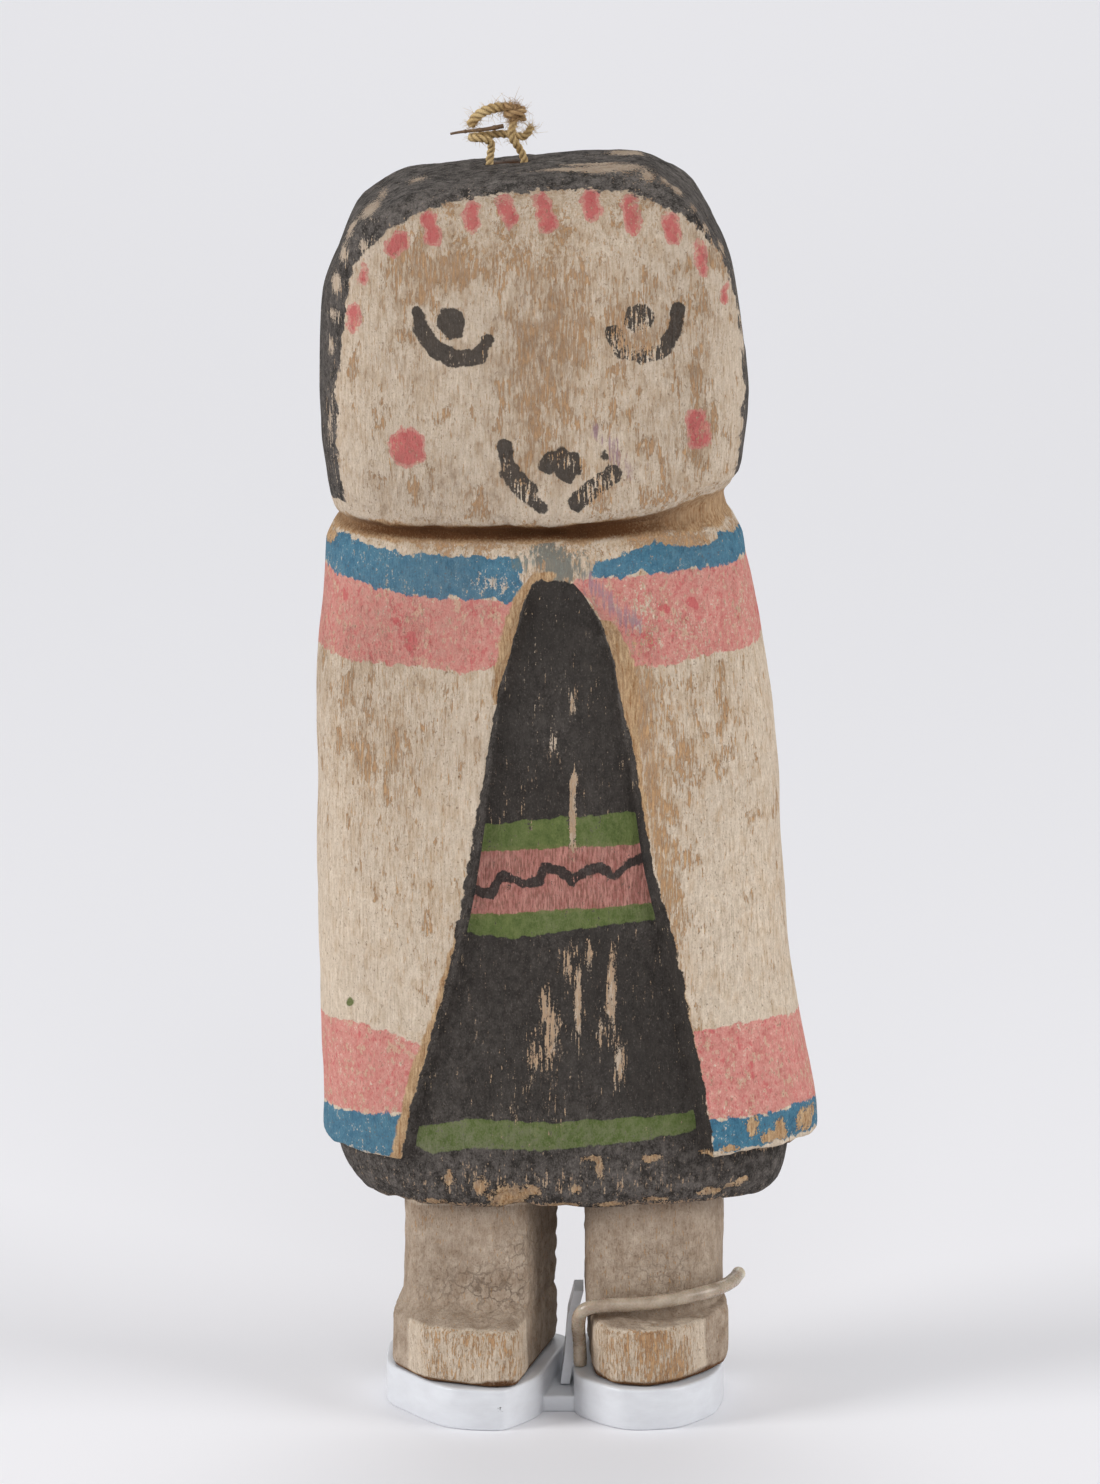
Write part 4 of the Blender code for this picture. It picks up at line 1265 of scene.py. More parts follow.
    def bands(self, skin: Skin, marks: np.ndarray) -> dict[str, np.ndarray]:
        """Lays the cape's pink and blue bands.

        Args:
            skin: The doll's points.
            marks: The depth inside the face's pink marks, which join the bands.

        Returns:
            The depth inside each paint, by name.
        """
        x, y, height = skin.points.T
        turn = np.degrees(np.arctan2(x, -y))
        over_wall = np.where((x > 1) & (height > 116.5), 2.2, 0)
        below = np.where(height < self.cape_bottom, OUTSIDE, -OUTSIDE)
        on_cape = np.minimum(skin.lip - 0.1 + over_wall, below)
        pink = between(height, turn, self.cape_pink_low, self.cape_blue_low)
        low_pink = between(height, turn, self.hem_middle, self.hem_pink_high)
        pink = np.minimum(np.maximum(pink, low_pink), on_cape)
        throat = np.where(y < 0, np.abs(x - 1.0) - 5.2, -OUTSIDE)
        blue = np.minimum(between(height, turn, self.cape_blue_low, self.cape_blue_high), throat)
        low_blue = between(height, turn, self.hem_blue_low, self.hem_middle)
        blue = np.maximum(blue, np.minimum(low_blue, on_cape))
        return {"pink_paint": np.maximum(pink, marks), "blue_paint": blue}

    def belt(self, skin: Skin) -> dict[str, np.ndarray]:
        """Lays the belt, the green bands on the dress and the green dot on the cape.

        Args:
            skin: The doll's points.

        Returns:
            The depth inside each paint, by name.
        """
        x, y, height = skin.points.T
        front = y < 0
        on_dress = np.where(skin.dress > 0, skin.dress, OUTSIDE) + self.belt_gap
        bands = (self.belt_green_high, self.belt_green_low, self.dress_green)
        greens = [between(height, x, low, high) for low, high in bands]
        green = np.minimum(np.max(greens, axis=0), on_dress)
        dot = 0.6 - np.linalg.norm(skin.points[:, (0, 2)] - np.array(self.green_dot), axis=1)
        belt = np.minimum(between(height, x, *self.belt_pink), on_dress)
        return {
            "belt_paint": np.where(front, belt, OUTSIDE),
            "green_paint": np.where(front, np.maximum(green, dot), OUTSIDE),
        }

    def edge_reach(self, x: np.ndarray, height: np.ndarray) -> list[np.ndarray]:
        """Reads the two tables of the cape's cut edges.

        Args:
            x: Each point's place across.
            height: Each point's height.

        Returns:
            How far the black runs over the cape's edge, and how wide the edge is bare.
        """
        left, right = np.array(self.left_edge), np.array(self.right_edge)
        return [
            np.where(
                x < 1,
                np.interp(height, left[:, 0], left[:, column]),
                np.interp(height, right[:, 0], right[:, column]),
            )
            for column in (1, 2)
        ]

    def raw_depth(self, skin: Skin, bare_edge: np.ndarray) -> np.ndarray:
        """Measures the places that were never painted or are cut open.

        Args:
            skin: The doll's points.
            bare_edge: How wide the cape's cut edge is bare.

        Returns:
            The depth inside them.
        """
        x, y, height = skin.points.T
        lip, row = skin.lip, skin.row
        strip = np.minimum(bare_edge - lip, np.minimum(lip + 3.0, 124.5 - height))
        strip = np.where((y < 0) & (height > 34.15) & (bare_edge > 0.05), strip, OUTSIDE)
        neck = np.minimum(row - 128.7 - 0.02 * np.maximum(0, x), 131.5 - row)
        neck = neck + 0.5 * unevenness(skin.points, (3, 3, 2), 9)
        neck = np.where(height > 120, neck, OUTSIDE)
        sole = np.where(height < 0.4, 1.0, OUTSIDE)
        return np.maximum.reduce([strip, neck, sole])

    def chip_depth(self, points: np.ndarray) -> np.ndarray:
        """Measures the places where every layer has come off.

        Args:
            points: The doll's points.

        Returns:
            The depth inside them.
        """
        x, y, height = points.T
        depth = np.full(len(points), OUTSIDE)
        for middle, level, across, up in self.bare_patches:
            share = np.hypot((x - middle) / across, (height - level) / up)
            depth = np.maximum(depth, (1 - share) * self.patch_depth)
        return np.where(y < 1, depth, OUTSIDE)

    def dirt_and_shade_share(self, points: np.ndarray, hair: np.ndarray, dressed: np.ndarray) -> np.ndarray:
        """Works out how much dirt and dust lie on the paints, with painted shade between the legs,
        under the hem and on the left side.

        Args:
            points: The doll's points.
            hair: The depth inside the hair.
            dressed: Whether a point is on the dress.

        Returns:
            From none (0) to all (1).
        """
        x, y, height = points.T
        dirt_and_shade = np.where(height > 131, 0.20, 0.09)
        dirt_and_shade = dirt_and_shade + np.where(y < 0, spots(x, height, self.dirt_and_shade_spots), 0)
        on_dress = np.interp(height, (30, 36, 44, 125), (0.22, 0.16, 0.03, 0.02))
        dirt_and_shade = np.where(dressed, on_dress, dirt_and_shade)
        on_hair = 0.18 + 0.12 * np.clip((height - 172) / 8, 0, 1)
        dirt_and_shade = np.where(hair > 0, on_hair, dirt_and_shade)
        # Painted shade between the legs and under the hem.
        shade_between_legs = np.clip(1 - np.abs(x - 3.3) / 3.4, 0, 1)
        shade_under_hem = np.clip((height - 21) / 5, 0, 1)
        on_limb = 0.06 + 0.5 * shade_between_legs + 0.14 * shade_under_hem
        on_limb = np.where(self.on_toes(y, height), 0.0, on_limb)
        dirt_and_shade = np.where(height < self.leg_top, on_limb, dirt_and_shade)
        return np.clip(dirt_and_shade + 0.06 * unevenness(points, (7, 7, 9), 14), 0, 1)

    def on_toes(self, y: np.ndarray, height: np.ndarray) -> np.ndarray:
        """Whether points are on the fronts of the toes."""
        return (y < self.toe_front) & (height < self.toe_top)

    def worn_fields(
        self, skin: Skin, hair: np.ndarray, dressed: np.ndarray
    ) -> dict[str, np.ndarray]:
        """Works out the wear of the ground, the paints and the limbs, and the painted shade in
        cuts.

        Args:
            skin: The doll's points.
            hair: The depth inside the hair.
            dressed: Whether a point is on the dress.

        Returns:
            The numbers for each point, by name.
        """
        points, lip = skin.points, skin.lip
        x, y, height = points.T
        heights = (26, 34, 60, 90, 126, 133, 140, 185)
        base = np.interp(height, heights, (0.05, 0.04, 0.06, 0.15, 0.14, 0.14, 0.16, 0.20))
        wear = base + 0.12 * unevenness(points, (9, 9, 22), 5)
        wear = wear + np.where(y < 0, spots(x, height, self.front_wear), 0)
        paint_wear = 0.05 + 0.06 * unevenness(points, (6, 6, 12), 6)
        paint_wear = paint_wear + np.where(y < 0, spots(x, height, self.thin_paint), 0)
        for middle, behind, level, across, back, up, amount in self.head_wear:
            near = bell(x - middle, across) * bell(y - behind, back) * bell(height - level, up)
            paint_wear = paint_wear + amount * near
        beside = bell(lip, 3.4) * (x > 1) * np.interp(height, (50, 70), (0, 1))
        wear = wear + 0.42 * beside * (lip > 0) * (height < 118)
        hair_edge = bell(hair, 1.2) * (height > 134)
        cape_edge = bell(height - 34.6, 0.5) * (lip > 0)
        under = 0.38 * dressed * np.clip((99 - height) / 8, 0, 1)
        patchy = 0.5 + 0.5 * unevenness(points, (5, 5, 3), 8)
        rubbed = (0.55 * bell(height - 26.9, 0.7) + 0.5 * cape_edge + 0.10 * hair_edge) * patchy
        limb = (height < self.leg_top) * np.where(self.on_toes(y, height), 0.2, 1.0)
        return {
            "wear": np.where(limb > 0, self.limb_wear(points), wear + 0.5 * rubbed + under),
            "paint_wear": paint_wear + rubbed,
            "limb": limb,
            "cut_shade": self.cut_shade(skin),
        }

    def cut_shade(self, skin: Skin) -> np.ndarray:
        """Works out the painted shade in the neck's cut, in the twine's channel and under the
        soles.

        Args:
            skin: The doll's points.

        Returns:
            From none (0) to all (1).
        """
        x, y, height = skin.points.T
        # Painted shade in the neck's cut under the chin, in the twine's channel and under the
        # soles' edge.
        depth = np.interp(x, (-33, -27, -20, 6, 14, 20, 28), (0.3, 0.8, 1.3, 1.3, 0.8, 0.4, 0.1))
        rows = (128.5, 129.1, 129.7, 131.2, 131.7)
        neck = depth * np.interp(skin.row, rows, (0, 0.45, 1, 0.8, 0)) * np.where(y < 6, 1.0, 0.5)
        channel = np.exp(-(((x + 6.4) / 2.6) ** 4 + ((y - 6.0) / 1.8) ** 2)) * (height > 178)
        edge = 0.7 + 0.5 * unevenness(skin.points, (3, 3, 3), 15)
        rim = np.clip((edge - height) / 0.25, 0, 1)
        top = np.clip(np.maximum(neck, 0.9 * channel), 0, 1)
        return np.where(height > 120, top, 0.85 * rim)

    def limb_wear(self, points: np.ndarray) -> np.ndarray:
        """Wears the toes' fronts down to their upright grain, and the legs hardly.

        Args:
            points: The doll's points.

        Returns:
            The wear at each point.
        """
        x, y, height = points.T
        toes = np.clip((-y - 14.5) / 2.5, 0, 1) * (height < 8.4)
        patches = 0.6 + 0.7 * unevenness(points, (5, 5, 9), 13)
        return 0.06 + 0.42 * toes * patches + 0.10 * unevenness(points, (6, 6, 6), 12)


@dataclass
class CarvedDoll:
    """The doll's wood: trunk, head, legs and feet, cut finely enough to carry its relief."""

    step: float = 0.5
    neck_step: float = 0.28
    panel_columns: int = 64
    wall_columns: int = 3
    cloak_columns: int = 158
    back_spacing: float = 2.4
    hem: float = 26.4
    cape_bottom: float = 34.1
    shoulder: float = 126.5
    neck: float = 130.3
    head_middle: float = 156.0
    crown_front: float = 18.8
    crown_side: float = 26.6
    jaw: float = 135.0
    panel_top: float = 124.0
    trunk: Route = (
        (26.4, 30.8, 39, 19, 17.6), (30.5, 33.3, 40, 19.3, 17.8), (34.1, 34.1, 40.4, 19.4, 18),
        (40.6, 34.1, 40.1, 19.5, 18.2), (50, 34.5, 38.4, 19.4, 18.4),
        (62.5, 34.8, 36.3, 19.3, 18.5), (78.1, 35.1, 35, 19.1, 18.5),
        (93.6, 34.9, 34.1, 18.9, 18.4), (102.8, 35, 33, 18.7, 18.2), (112, 34.5, 31.5, 18.4, 17.9),
        (118.2, 33.8, 30.5, 18.1, 17.6), (124.3, 33.4, 29.2, 17.8, 17.2),
        (129, 33, 28.3, 17.6, 17), (132, 32.6, 27.5, 18.1, 17.6), (136.5, 33.1, 28.2, 18.5, 18.4),
        (142.5, 33.8, 29, 18.7, 18.9), (148, 34, 29.4, 18.8, 19.1), (156, 33.9, 28.9, 18.8, 19.2),
    )
    panel_left: Route = (
        (34, 22.6, 1.2), (47, 19.9, 0.9), (59.5, 16.2, 0.8), (75, 12.6, 0.8), (90, 10.3, 0.8),
        (107, 7.8, 0.8), (117.5, 5.1, 0.9), (121, 4.1, 0.9), (124.5, 2.2, 0.8), (130, 5, 0.8),
        (136, 11, 0.8), (148, 15, 0.8),
    )
    panel_right: Route = (
        (34, 24.4, 0.8), (45.5, 22.7, 0.8), (56.5, 20.5, 0.8), (67, 18.2, 0.8), (79.5, 15.3, 0.9),
        (90, 13.9, 1.1), (102.5, 12.3, 1.6), (113, 10.9, 2.1), (120.5, 7.2, 1.9), (124.5, 3.6, 1),
        (130, 5, 0.8), (136, 11, 0.8), (148, 15, 0.8),
    )
    cuts_across_x: tuple[tuple[Place, Place], ...] = (
        ((-21.5, 180.1), (-3, 182.6)), ((-3, 182.6), (14, 183.3)), ((14, 183.3), (21.1, 178.7)),
        ((21.1, 178.7), (26.6, 169.6)), ((26.6, 169.6), (29.2, 156)),
        ((-28.9, 175.7), (-21.5, 180.1)), ((-33.2, 166), (-28.9, 175.7)),
    )
    cuts_across_y: tuple[tuple[Place, Place], ...] = (
        ((-18.4, 172), (-15.6, 179.4)), ((-15.6, 179.4), (-9.5, 182.8)),
        ((12.5, 182.9), (17, 178.6)), ((17, 178.6), (19.2, 169)),
    )
    hem_rings: Route = ((26.4, 2.6), (26.7, 1.1), (27.6, 0.3), (29.0, 0.0), (34.1, 0.0))
    # (x, how much higher the head's lower edge stands there)
    lip_rise: Route = (
        (-33, 0.7), (-27, 0.2), (-22, 0), (7, 0), (14.4, 1), (18.6, 2), (23.2, 2.9), (29, 3.4),
    )
    neck_rings: Route = (
        (126.5, 0), (127.5, 0.6), (128.5, 1.4), (129.4, 2.4), (130.3, 4), (130.7, 3.2), (131, 1.5),
        (131.8, 0.6), (133.2, 0.1), (135, 0),
    )
    feet: Mapping[str, Route] = field(default_factory=lambda: {
        "left": (
            (-22.4, 7), (-23.9, -8.9), (-18.9, -17.2), (-9, -21), (-5, -20.4),
            (1.2, 7),
        ),
        "right": (
            (26.6, 7), (26.9, -7.4), (24, -12.6), (19.6, -17.9), (14.8, -20.6),
            (9.6, -19.3), (6.6, -14.4), (5.6, 7),
        ),
    })
    legs: Mapping[str, Route] = field(default_factory=lambda: {
        "left": (
            (-21.6, 7), (-22.2, -9), (-20.4, -12.6), (-9, -13.2), (-3.5, -13),
            (1.2, 7),
        ),
        "right": (
            (26.2, 7), (26.4, -1), (25, -6), (21.5, -10.2), (16, -12.6),
            (10, -13.1), (5.6, -11.4), (5.4, 7),
        ),
    })
    instep: Mapping[str, float] = field(default_factory=lambda: {"left": 10.6, "right": 9.3})
    toe_top: float = 8.7
    leg_end: float = 30.4
    corner_cut: float = 1.3
    limb_columns: int = 112
    limb_step: float = 0.62
    # (x, height, reach across, reach up, depth) of places where wood broke off.
    chips: tuple[Place, ...] = (
        (-5.3, 28, 3.6, 1.5, 0.7), (6.7, 34.2, 1.5, 0.7, 0.35), (-15.3, 31, 0.9, 1.2, 0.25),
        (25.3, 28.6, 1.7, 1, 0.4), (13, 27.4, 2.2, 0.9, 0.4), (-20, 28.4, 1.6, 1, 0.4),
        (1.6, 126.2, 2.6, 2, 0.25), (37.6, 36.4, 1.8, 1.2, 0.5), (30, 34.9, 2.2, 0.8, 0.4),
    )
    # (depth, how far apart its bumps are, pattern) of the knife's marks and the grain.
    texture: tuple[tuple[float, Place, int], ...] = (
        (0.22, (8, 8, 13), 21), (0.12, (4, 4, 6), 22), (0.09, (1.1, 1.1, 7), 23),
        (0.07, (2.3, 2.3, 14), 24),
    )
    bore_radius: float = 0.875
    bore_sides: int = 14

    def section_radius(self, angle: np.ndarray, height: np.ndarray | float) -> np.ndarray:
        """Measures the trunk before its panel is cut.

        Args:
            angle: The directions; 0 is the front and + is right.
            height: The level.

        Returns:
            The distance from the axis to the surface in each direction.
        """
        left, right, front, back = (smooth_along(self.trunk, height, n) for n in range(1, 5))
        side = np.where(np.sin(angle) < 0, left, right)
        depth = np.where(np.cos(angle) > 0, front, back)
        levels = (self.hem, self.cape_bottom, self.shoulder, self.jaw)
        power = np.interp(height, levels, (2.4, 2.7, 2.7, 3.2))
        across = np.abs(np.sin(angle) / side) ** power
        along = np.abs(np.cos(angle) / depth) ** power
        return (across + along) ** (-1 / power)

    def dress_depth(self, angle: np.ndarray, height: float) -> np.ndarray:
        """How far the dress lies inside the cape."""
        right = np.maximum(0, np.sin(angle)) ** 3
        return (2.0 + 2.0 * right) * np.clip((self.panel_top - height) / 7.0, 0, 1)

    def panel_edge(self, height: float, side: int) -> tuple[float, float]:
        """Finds where the cape's edge and the foot of its wall are beside the dress.

        Args:
            height: The level.
            side: 1 for the right edge and -1 for the left.

        Returns:
            The angle of the edge and that of the foot.
        """
        stations = self.panel_right if side > 0 else self.panel_left
        across = smooth_along(stations, height, 1)
        wall = smooth_along(stations, height, 2)
        angle = np.linspace(0, 1.3, 261)
        cape = self.section_radius(side * angle, height)
        dress = cape - self.dress_depth(side * angle, height)
        edge = np.interp(across, cape * np.sin(angle), angle)
        foot = np.interp(across - wall, dress * np.sin(angle), angle)
        return side * edge, side * foot

    def column_shares(self, start: float, end: float) -> np.ndarray:
        """Spaces the cape's columns, closer together at the front than behind.

        Args:
            start: The angle of the first column.
            end: The angle of the last.

        Returns:
            The angle of each.
        """
        fine = np.linspace(start, end, 721)
        reach = self.section_radius(fine, 100.0)
        spacing = np.where(np.cos(fine) > -0.1, 1.0, self.back_spacing)
        passed = np.concatenate([[0], np.cumsum((reach / spacing)[1:])])
        wanted = np.linspace(0, passed[-1], self.cloak_columns + 1)
        return np.interp(wanted, passed, fine)

    def columns(self, height: float, all_round: bool = False) -> tuple[np.ndarray, np.ndarray]:
        """Lays out one ring.

        Args:
            height: The ring's level.
            all_round: Whether it is below the cape, where the dress shows all round.

        Returns:
            The angle of each point, and how far it is from dress (0) to cape (1).
        """
        left_edge, left_foot = self.panel_edge(height, -1)
        right_edge, right_foot = self.panel_edge(height, 1)
        if all_round:
            left_edge, right_edge = left_foot - 0.02, right_foot + 0.02
        panel = np.linspace(left_foot, right_foot, self.panel_columns + 1)
        share = np.arange(1, self.wall_columns) / self.wall_columns
        right_wall = right_foot + (right_edge - right_foot) * share
        left_wall = left_edge + (left_foot - left_edge) * share + 2 * math.pi
        cloak = self.column_shares(right_edge, left_edge + 2 * math.pi)
        angles = np.concatenate([panel, right_wall, cloak, left_wall])
        rise = np.concatenate([np.zeros(len(panel)), share, np.ones(len(cloak)), share[::-1]])
        return angles, rise

    def ring(self, height: float, drawn_in: float, all_round: bool) -> np.ndarray:
        """Makes a level ring of the trunk, with the dress sunk in its panel.

        Args:
            height: The ring's level.
            drawn_in: How much closer to the axis it lies.
            all_round: Whether the dress shows all round.

        Returns:
            The ring's points.
        """
        angle, rise = self.columns(height, all_round)
        radius = self.section_radius(angle, height)
        facing = np.clip(np.cos(angle), 0, 1) ** 2
        share = 0.55 + 0.45 * facing if height > self.shoulder else 1
        shown = 1.0 if all_round else 1 - rise
        radius = radius - self.dress_depth(angle, height) * shown - drawn_in * share
        across = radius * np.sin(angle)
        near_neck = np.clip(1 - abs(height - self.neck) / (self.neck - self.panel_top), 0, 1)
        near_bottom = np.clip(2 - abs(height - self.cape_bottom) / 4, 0, 1)
        outer = np.maximum(0, np.abs(across) - 20.0)
        level = height + 0.05 * near_neck * np.maximum(0, across) + 0.07 * near_bottom * outer
        lifted = np.interp(height, (129.8, 130.8, 132.0, 139.0), (0, 1, 1, 0))
        level = level + lifted * np.interp(across, *zip(*self.lip_rise))
        return np.stack([across, -radius * np.cos(angle), level], axis=1)

    def crown_radius(self, directions: np.ndarray) -> np.ndarray:
        """Measures the head from its middle to its sides and its knife cuts.

        Args:
            directions: The directions, each of length 1.

        Returns:
            The reach in each direction.
        """
        sharpness = 70.0
        flat = np.hypot(directions[:, 0], directions[:, 1])
        angle = np.arctan2(directions[:, 0], -directions[:, 1])
        side = self.section_radius(angle, self.head_middle) / np.maximum(flat, 1e-9)
        total = side**-sharpness
        for axis, cuts in ((0, self.cuts_across_x), (1, self.cuts_across_y)):
            for start, end in cuts:
                run, rise = end[0] - start[0], end[1] - start[1]
                length = math.hypot(run, rise)
                normal = (-rise / length, run / length)
                reach = normal[0] * start[0] + normal[1] * (start[1] - self.head_middle)
                facing = normal[0] * directions[:, axis] + normal[1] * directions[:, 2]
                total = total + (np.maximum(facing, 1e-9) / reach) ** sharpness
        return total ** (-1 / sharpness)

    def crown_ring(self, lift: float) -> np.ndarray:
        """Makes a ring of the head above its middle.

        Args:
            lift: How steeply the rays to its points rise.

        Returns:
            The ring's points.
        """
        angle, _ = self.columns(self.head_middle)
        flat = math.cos(lift)
        upward = np.full(len(angle), math.sin(lift))
        directions = np.stack([np.sin(angle) * flat, -np.cos(angle) * flat, upward], axis=1)
        points = directions * self.crown_radius(directions)[:, None]
        points[:, 2] += self.head_middle
        return points

    def rows(self) -> tuple[np.ndarray, int]:
        """Stacks all rings of the trunk and the head.

        Returns:
            The rings' points, the lowest first, and how many of them lie below the cape.
        """
        rings = []
        hem_heights = [26.4, 26.5, 26.6, 26.7, 26.9, 27.2, 27.6, 28.0, 28.5]
        hem_heights += list(np.arange(29.0, self.cape_bottom - 0.2, self.step))
        for height in (*hem_heights, self.cape_bottom):
            rings.append(self.ring(height, np.interp(height, *zip(*self.hem_rings)), True))
        under, lip = rings[-1], self.ring(self.cape_bottom + 0.1, 0, False)
        rings += [under * (1 - share) + lip * share for share in (0.25, 0.5, 0.75)]
        below = len(rings)
        for height in np.arange(self.cape_bottom + 0.1, self.shoulder, self.step):
            rings.append(self.ring(height, 0, False))
        for height in np.arange(self.shoulder, self.jaw, self.neck_step):
            rings.append(self.ring(height, np.interp(height, *zip(*self.neck_rings)), False))
        for height in np.arange(self.jaw, self.head_middle, self.step):
            rings.append(self.ring(height, 0, False))
        front, side = self.crown_front, self.crown_side
        lifts = [math.atan(rise / front) for rise in np.arange(0, side - 0.4, self.step)]
        lifts += [math.atan(side / run) for run in np.arange(front, 0.4, -0.75)]
        rings += [self.crown_ring(lift) for lift in lifts]
        return np.array(rings), below

    def trunk_grid(self) -> tuple[np.ndarray, np.ndarray, np.ndarray, np.ndarray]:
        """Lays the rings out as a grid and measures it for the paints.

        Returns:
            The points by row and column, and the dress, lip and row of a Skin for each.
        """
        grid, below = self.rows()
        _, rise = self.columns(80.0)
        right_lip = self.panel_columns + self.wall_columns
        left_lip = right_lip + self.cloak_columns
        foot_left, foot_right = grid[:, 0, 0], grid[:, self.panel_columns, 0]
        across = grid[:, :, 0]
        dress = np.minimum(across - foot_left[:, None], foot_right[:, None] - across)
        outside = np.arange(grid.shape[1]) > self.panel_columns
        dress[:, outside] = -0.35 - rise[outside] * 0.6
        dress[:below] = 6.0
        to_right = np.linalg.norm(grid - grid[:, right_lip : right_lip + 1], axis=2)
        to_left = np.linalg.norm(grid - grid[:, left_lip : left_lip + 1], axis=2)
        lip = np.minimum(to_right, to_left)
        lip = np.where(rise[None, :] < 1, -lip, lip)
        row = np.clip(grid[:, self.panel_columns // 2, 2], 0, self.head_middle)
        return grid, dress, lip, np.repeat(row[:, None], grid.shape[1], axis=1)

    def relief(self, grid: np.ndarray, lip: np.ndarray) -> np.ndarray:
        """Works out the carver's marks, the grain, the chips and the worn edges.

        Args:
            grid: The trunk's points by row and column.
            lip: Each point's distance from the cape's cut edge.

        Returns:
            How far out each point moves.
        """
        flat = grid.reshape(-1, 3)
        x, y, height = flat.T
        moved = sum(depth * unevenness(flat, size, seed) for depth, size, seed in self.texture)
        pits = np.clip(unevenness(flat, (1.2, 1.2, 3.2), 25) - 0.45, 0, 1)
        nicks = bell(lip.reshape(-1), 1.4) * np.clip(unevenness(flat, (1.6, 1.6, 1.8), 26), 0, 1)
        rough = bell(height - 131.0, 1.6) * unevenness(flat, (1.6, 1.6, 0.9), 27)
        edges = bell(height - 27.0, 1.0) + bell(height - 34.4, 0.7)
        broken = edges * np.clip(unevenness(flat, (2.6, 2.6, 1.8), 28), 0, 1)
        moved = moved - 0.16 * pits - 0.45 * nicks + 0.18 * rough - 0.55 * broken
        ragged = 1 + 0.5 * unevenness(flat, (1.3, 1.3, 1.0), 29)
        for middle, level, across, up, depth in self.chips:
            far = (((x - middle) / across) ** 2 + ((height - level) / up) ** 2) * ragged
            moved = moved - np.where(y < 0, depth * np.clip(1.6 - far, 0, 1), 0)
        between_holes = bell(x + 6.4, 2.6) * bell(y - 6.0, 1.1)
        moved = moved - np.where(height > 178, 0.5 * between_holes, 0)
        return moved.reshape(grid.shape[:2])

    def carve(self, grid: np.ndarray, moved: np.ndarray) -> np.ndarray:
        """Softens the grid's creases a little and moves each point along its normal.

        Args:
            grid: The points by row and column.
            moved: How far out each of them moves.

        Returns:
            The carved points.
        """
        soft = grid.copy()
        rounded = (np.roll(grid, 1, 1) + 2 * grid + np.roll(grid, -1, 1)) / 4
        soft[1:-1] = (rounded[:-2] + 2 * rounded[1:-1] + rounded[2:]) / 4
        along = np.roll(soft, -1, 1) - np.roll(soft, 1, 1)
        upward = np.gradient(soft, axis=0)
        normal = np.cross(along, upward)
        normal /= np.maximum(np.linalg.norm(normal, axis=2), 1e-9)[:, :, None]
        return soft + normal * moved[:, :, None]

    def limb(self, bench: Workbench, side: str) -> bpy.types.Object:
        """Makes a foot with a flat sole that narrows over the instep into its leg.

        Args:
            bench: Makes the piece.
            side: left or right.

        Returns:
            The limb, whose leg ends inside the trunk.
        """
        foot = soft_outline(self.feet[side], self.corner_cut, self.limb_columns)
        leg = soft_outline(self.legs[side], self.corner_cut, self.limb_columns)
        middle = foot.mean(axis=0)
        top = self.instep[side]
        stations = (
            (0.0, middle + (foot - middle) * 0.97),
            (0.6, foot),
            (self.toe_top - 0.7, foot),
            (self.toe_top, middle + (foot - middle) * 0.965),
            (top - 0.4, foot * 0.12 + leg * 0.88),
            (top + 0.9, leg),
            (self.leg_end, leg),
        )
        rings = []
        for (low, under), (high, over) in zip(stations[:-1], stations[1:]):
            reach = max(high - low, np.linalg.norm(over - under, axis=1).max())
            count = max(2, round(reach / self.limb_step))
            for share in np.arange(count) / count:
                outline = under * (1 - share) + over * share
                height = np.full(len(outline), low + (high - low) * share)
                rings.append(np.column_stack([outline, height]))
        rings.append(np.column_stack([leg, np.full(len(leg), self.leg_end)]))
        grid = np.array(rings)
        flat = grid.reshape(-1, 3)
        moved = 0.30 * unevenness(flat, (5, 5, 7), 31) + 0.14 * unevenness(flat, (1.4, 1.4, 3), 32)
        corners = bell(np.hypot(flat[:, 0] - 1.2, flat[:, 1] - 4.0), 4.0)
        moved = moved + 0.5 * corners * unevenness(flat, (1.5, 1.5, 1.2), 34)
        toes = np.clip((-flat[:, 1] - 13) / 3, 0, 1)
        moved = moved + 0.12 * toes * unevenness(flat, (1.0, 1.0, 6), 33)
        moved = moved * np.clip(flat[:, 2] / 1.0, 0, 1)
        carved = self.carve(grid, moved.reshape(grid.shape[:2]))
        carved[0] = grid[0]
        vertices, faces = loft(list(carved))
        return bench.piece(f"{side}_limb", vertices, faces)

    def bore(self, bench: Workbench, route: np.ndarray) -> bpy.types.Object:
        """The body that cuts the twine's channel through the head's top."""
        radius = np.full((len(route), self.bore_sides), self.bore_radius)
        return bench.piece("twine_channel", *tube(route, radius))

    def build(
        self, bench: Workbench, paint: DollPaint, finish: bpy.types.Material, channel: np.ndarray
    ) -> bpy.types.Object:
        """Carves the whole doll and keeps its paint fields on its points.

        Args:
            bench: Makes the pieces.
            paint: Where the paints lie.
            finish: The painted wood.
            channel: The route of the twine's channel through the head.

        Returns:
            The doll, in place of its frame node.
        """
        grid, dress, lip, row = self.trunk_grid()
        carved = self.carve(grid, self.relief(grid, lip))
        top = np.array([0.0, 0.0, self.head_middle])
        top[2] += self.crown_radius(np.array([[0.0, 0.0, 1.0]]))[0]
        vertices, faces = loft(list(carved), top)
        kept = {
            "dress_depth": np.concatenate([dress.reshape(-1), (6.0, -3.0)]),
            "lip_distance": np.concatenate([lip.reshape(-1), (9.0, 9.0)]),
            "row_height": np.concatenate([row.reshape(-1), (self.hem, self.head_middle)]),
        }
        doll = bench.piece("carved_doll", vertices, faces, kept)
        for side in ("left", "right"):
            bench.combine(doll, self.limb(bench, side), "UNION")
        bench.combine(doll, self.bore(bench, channel), "DIFFERENCE")
        doll.data.shade_smooth()
        skin = Skin(bench.points(doll), *(bench.take(doll, name) for name in kept))
        for name, values in paint.fields(skin).items():
            bench.keep(doll, name, values)
        return bench.dress(doll, finish, Slot.WOOD, "doll")


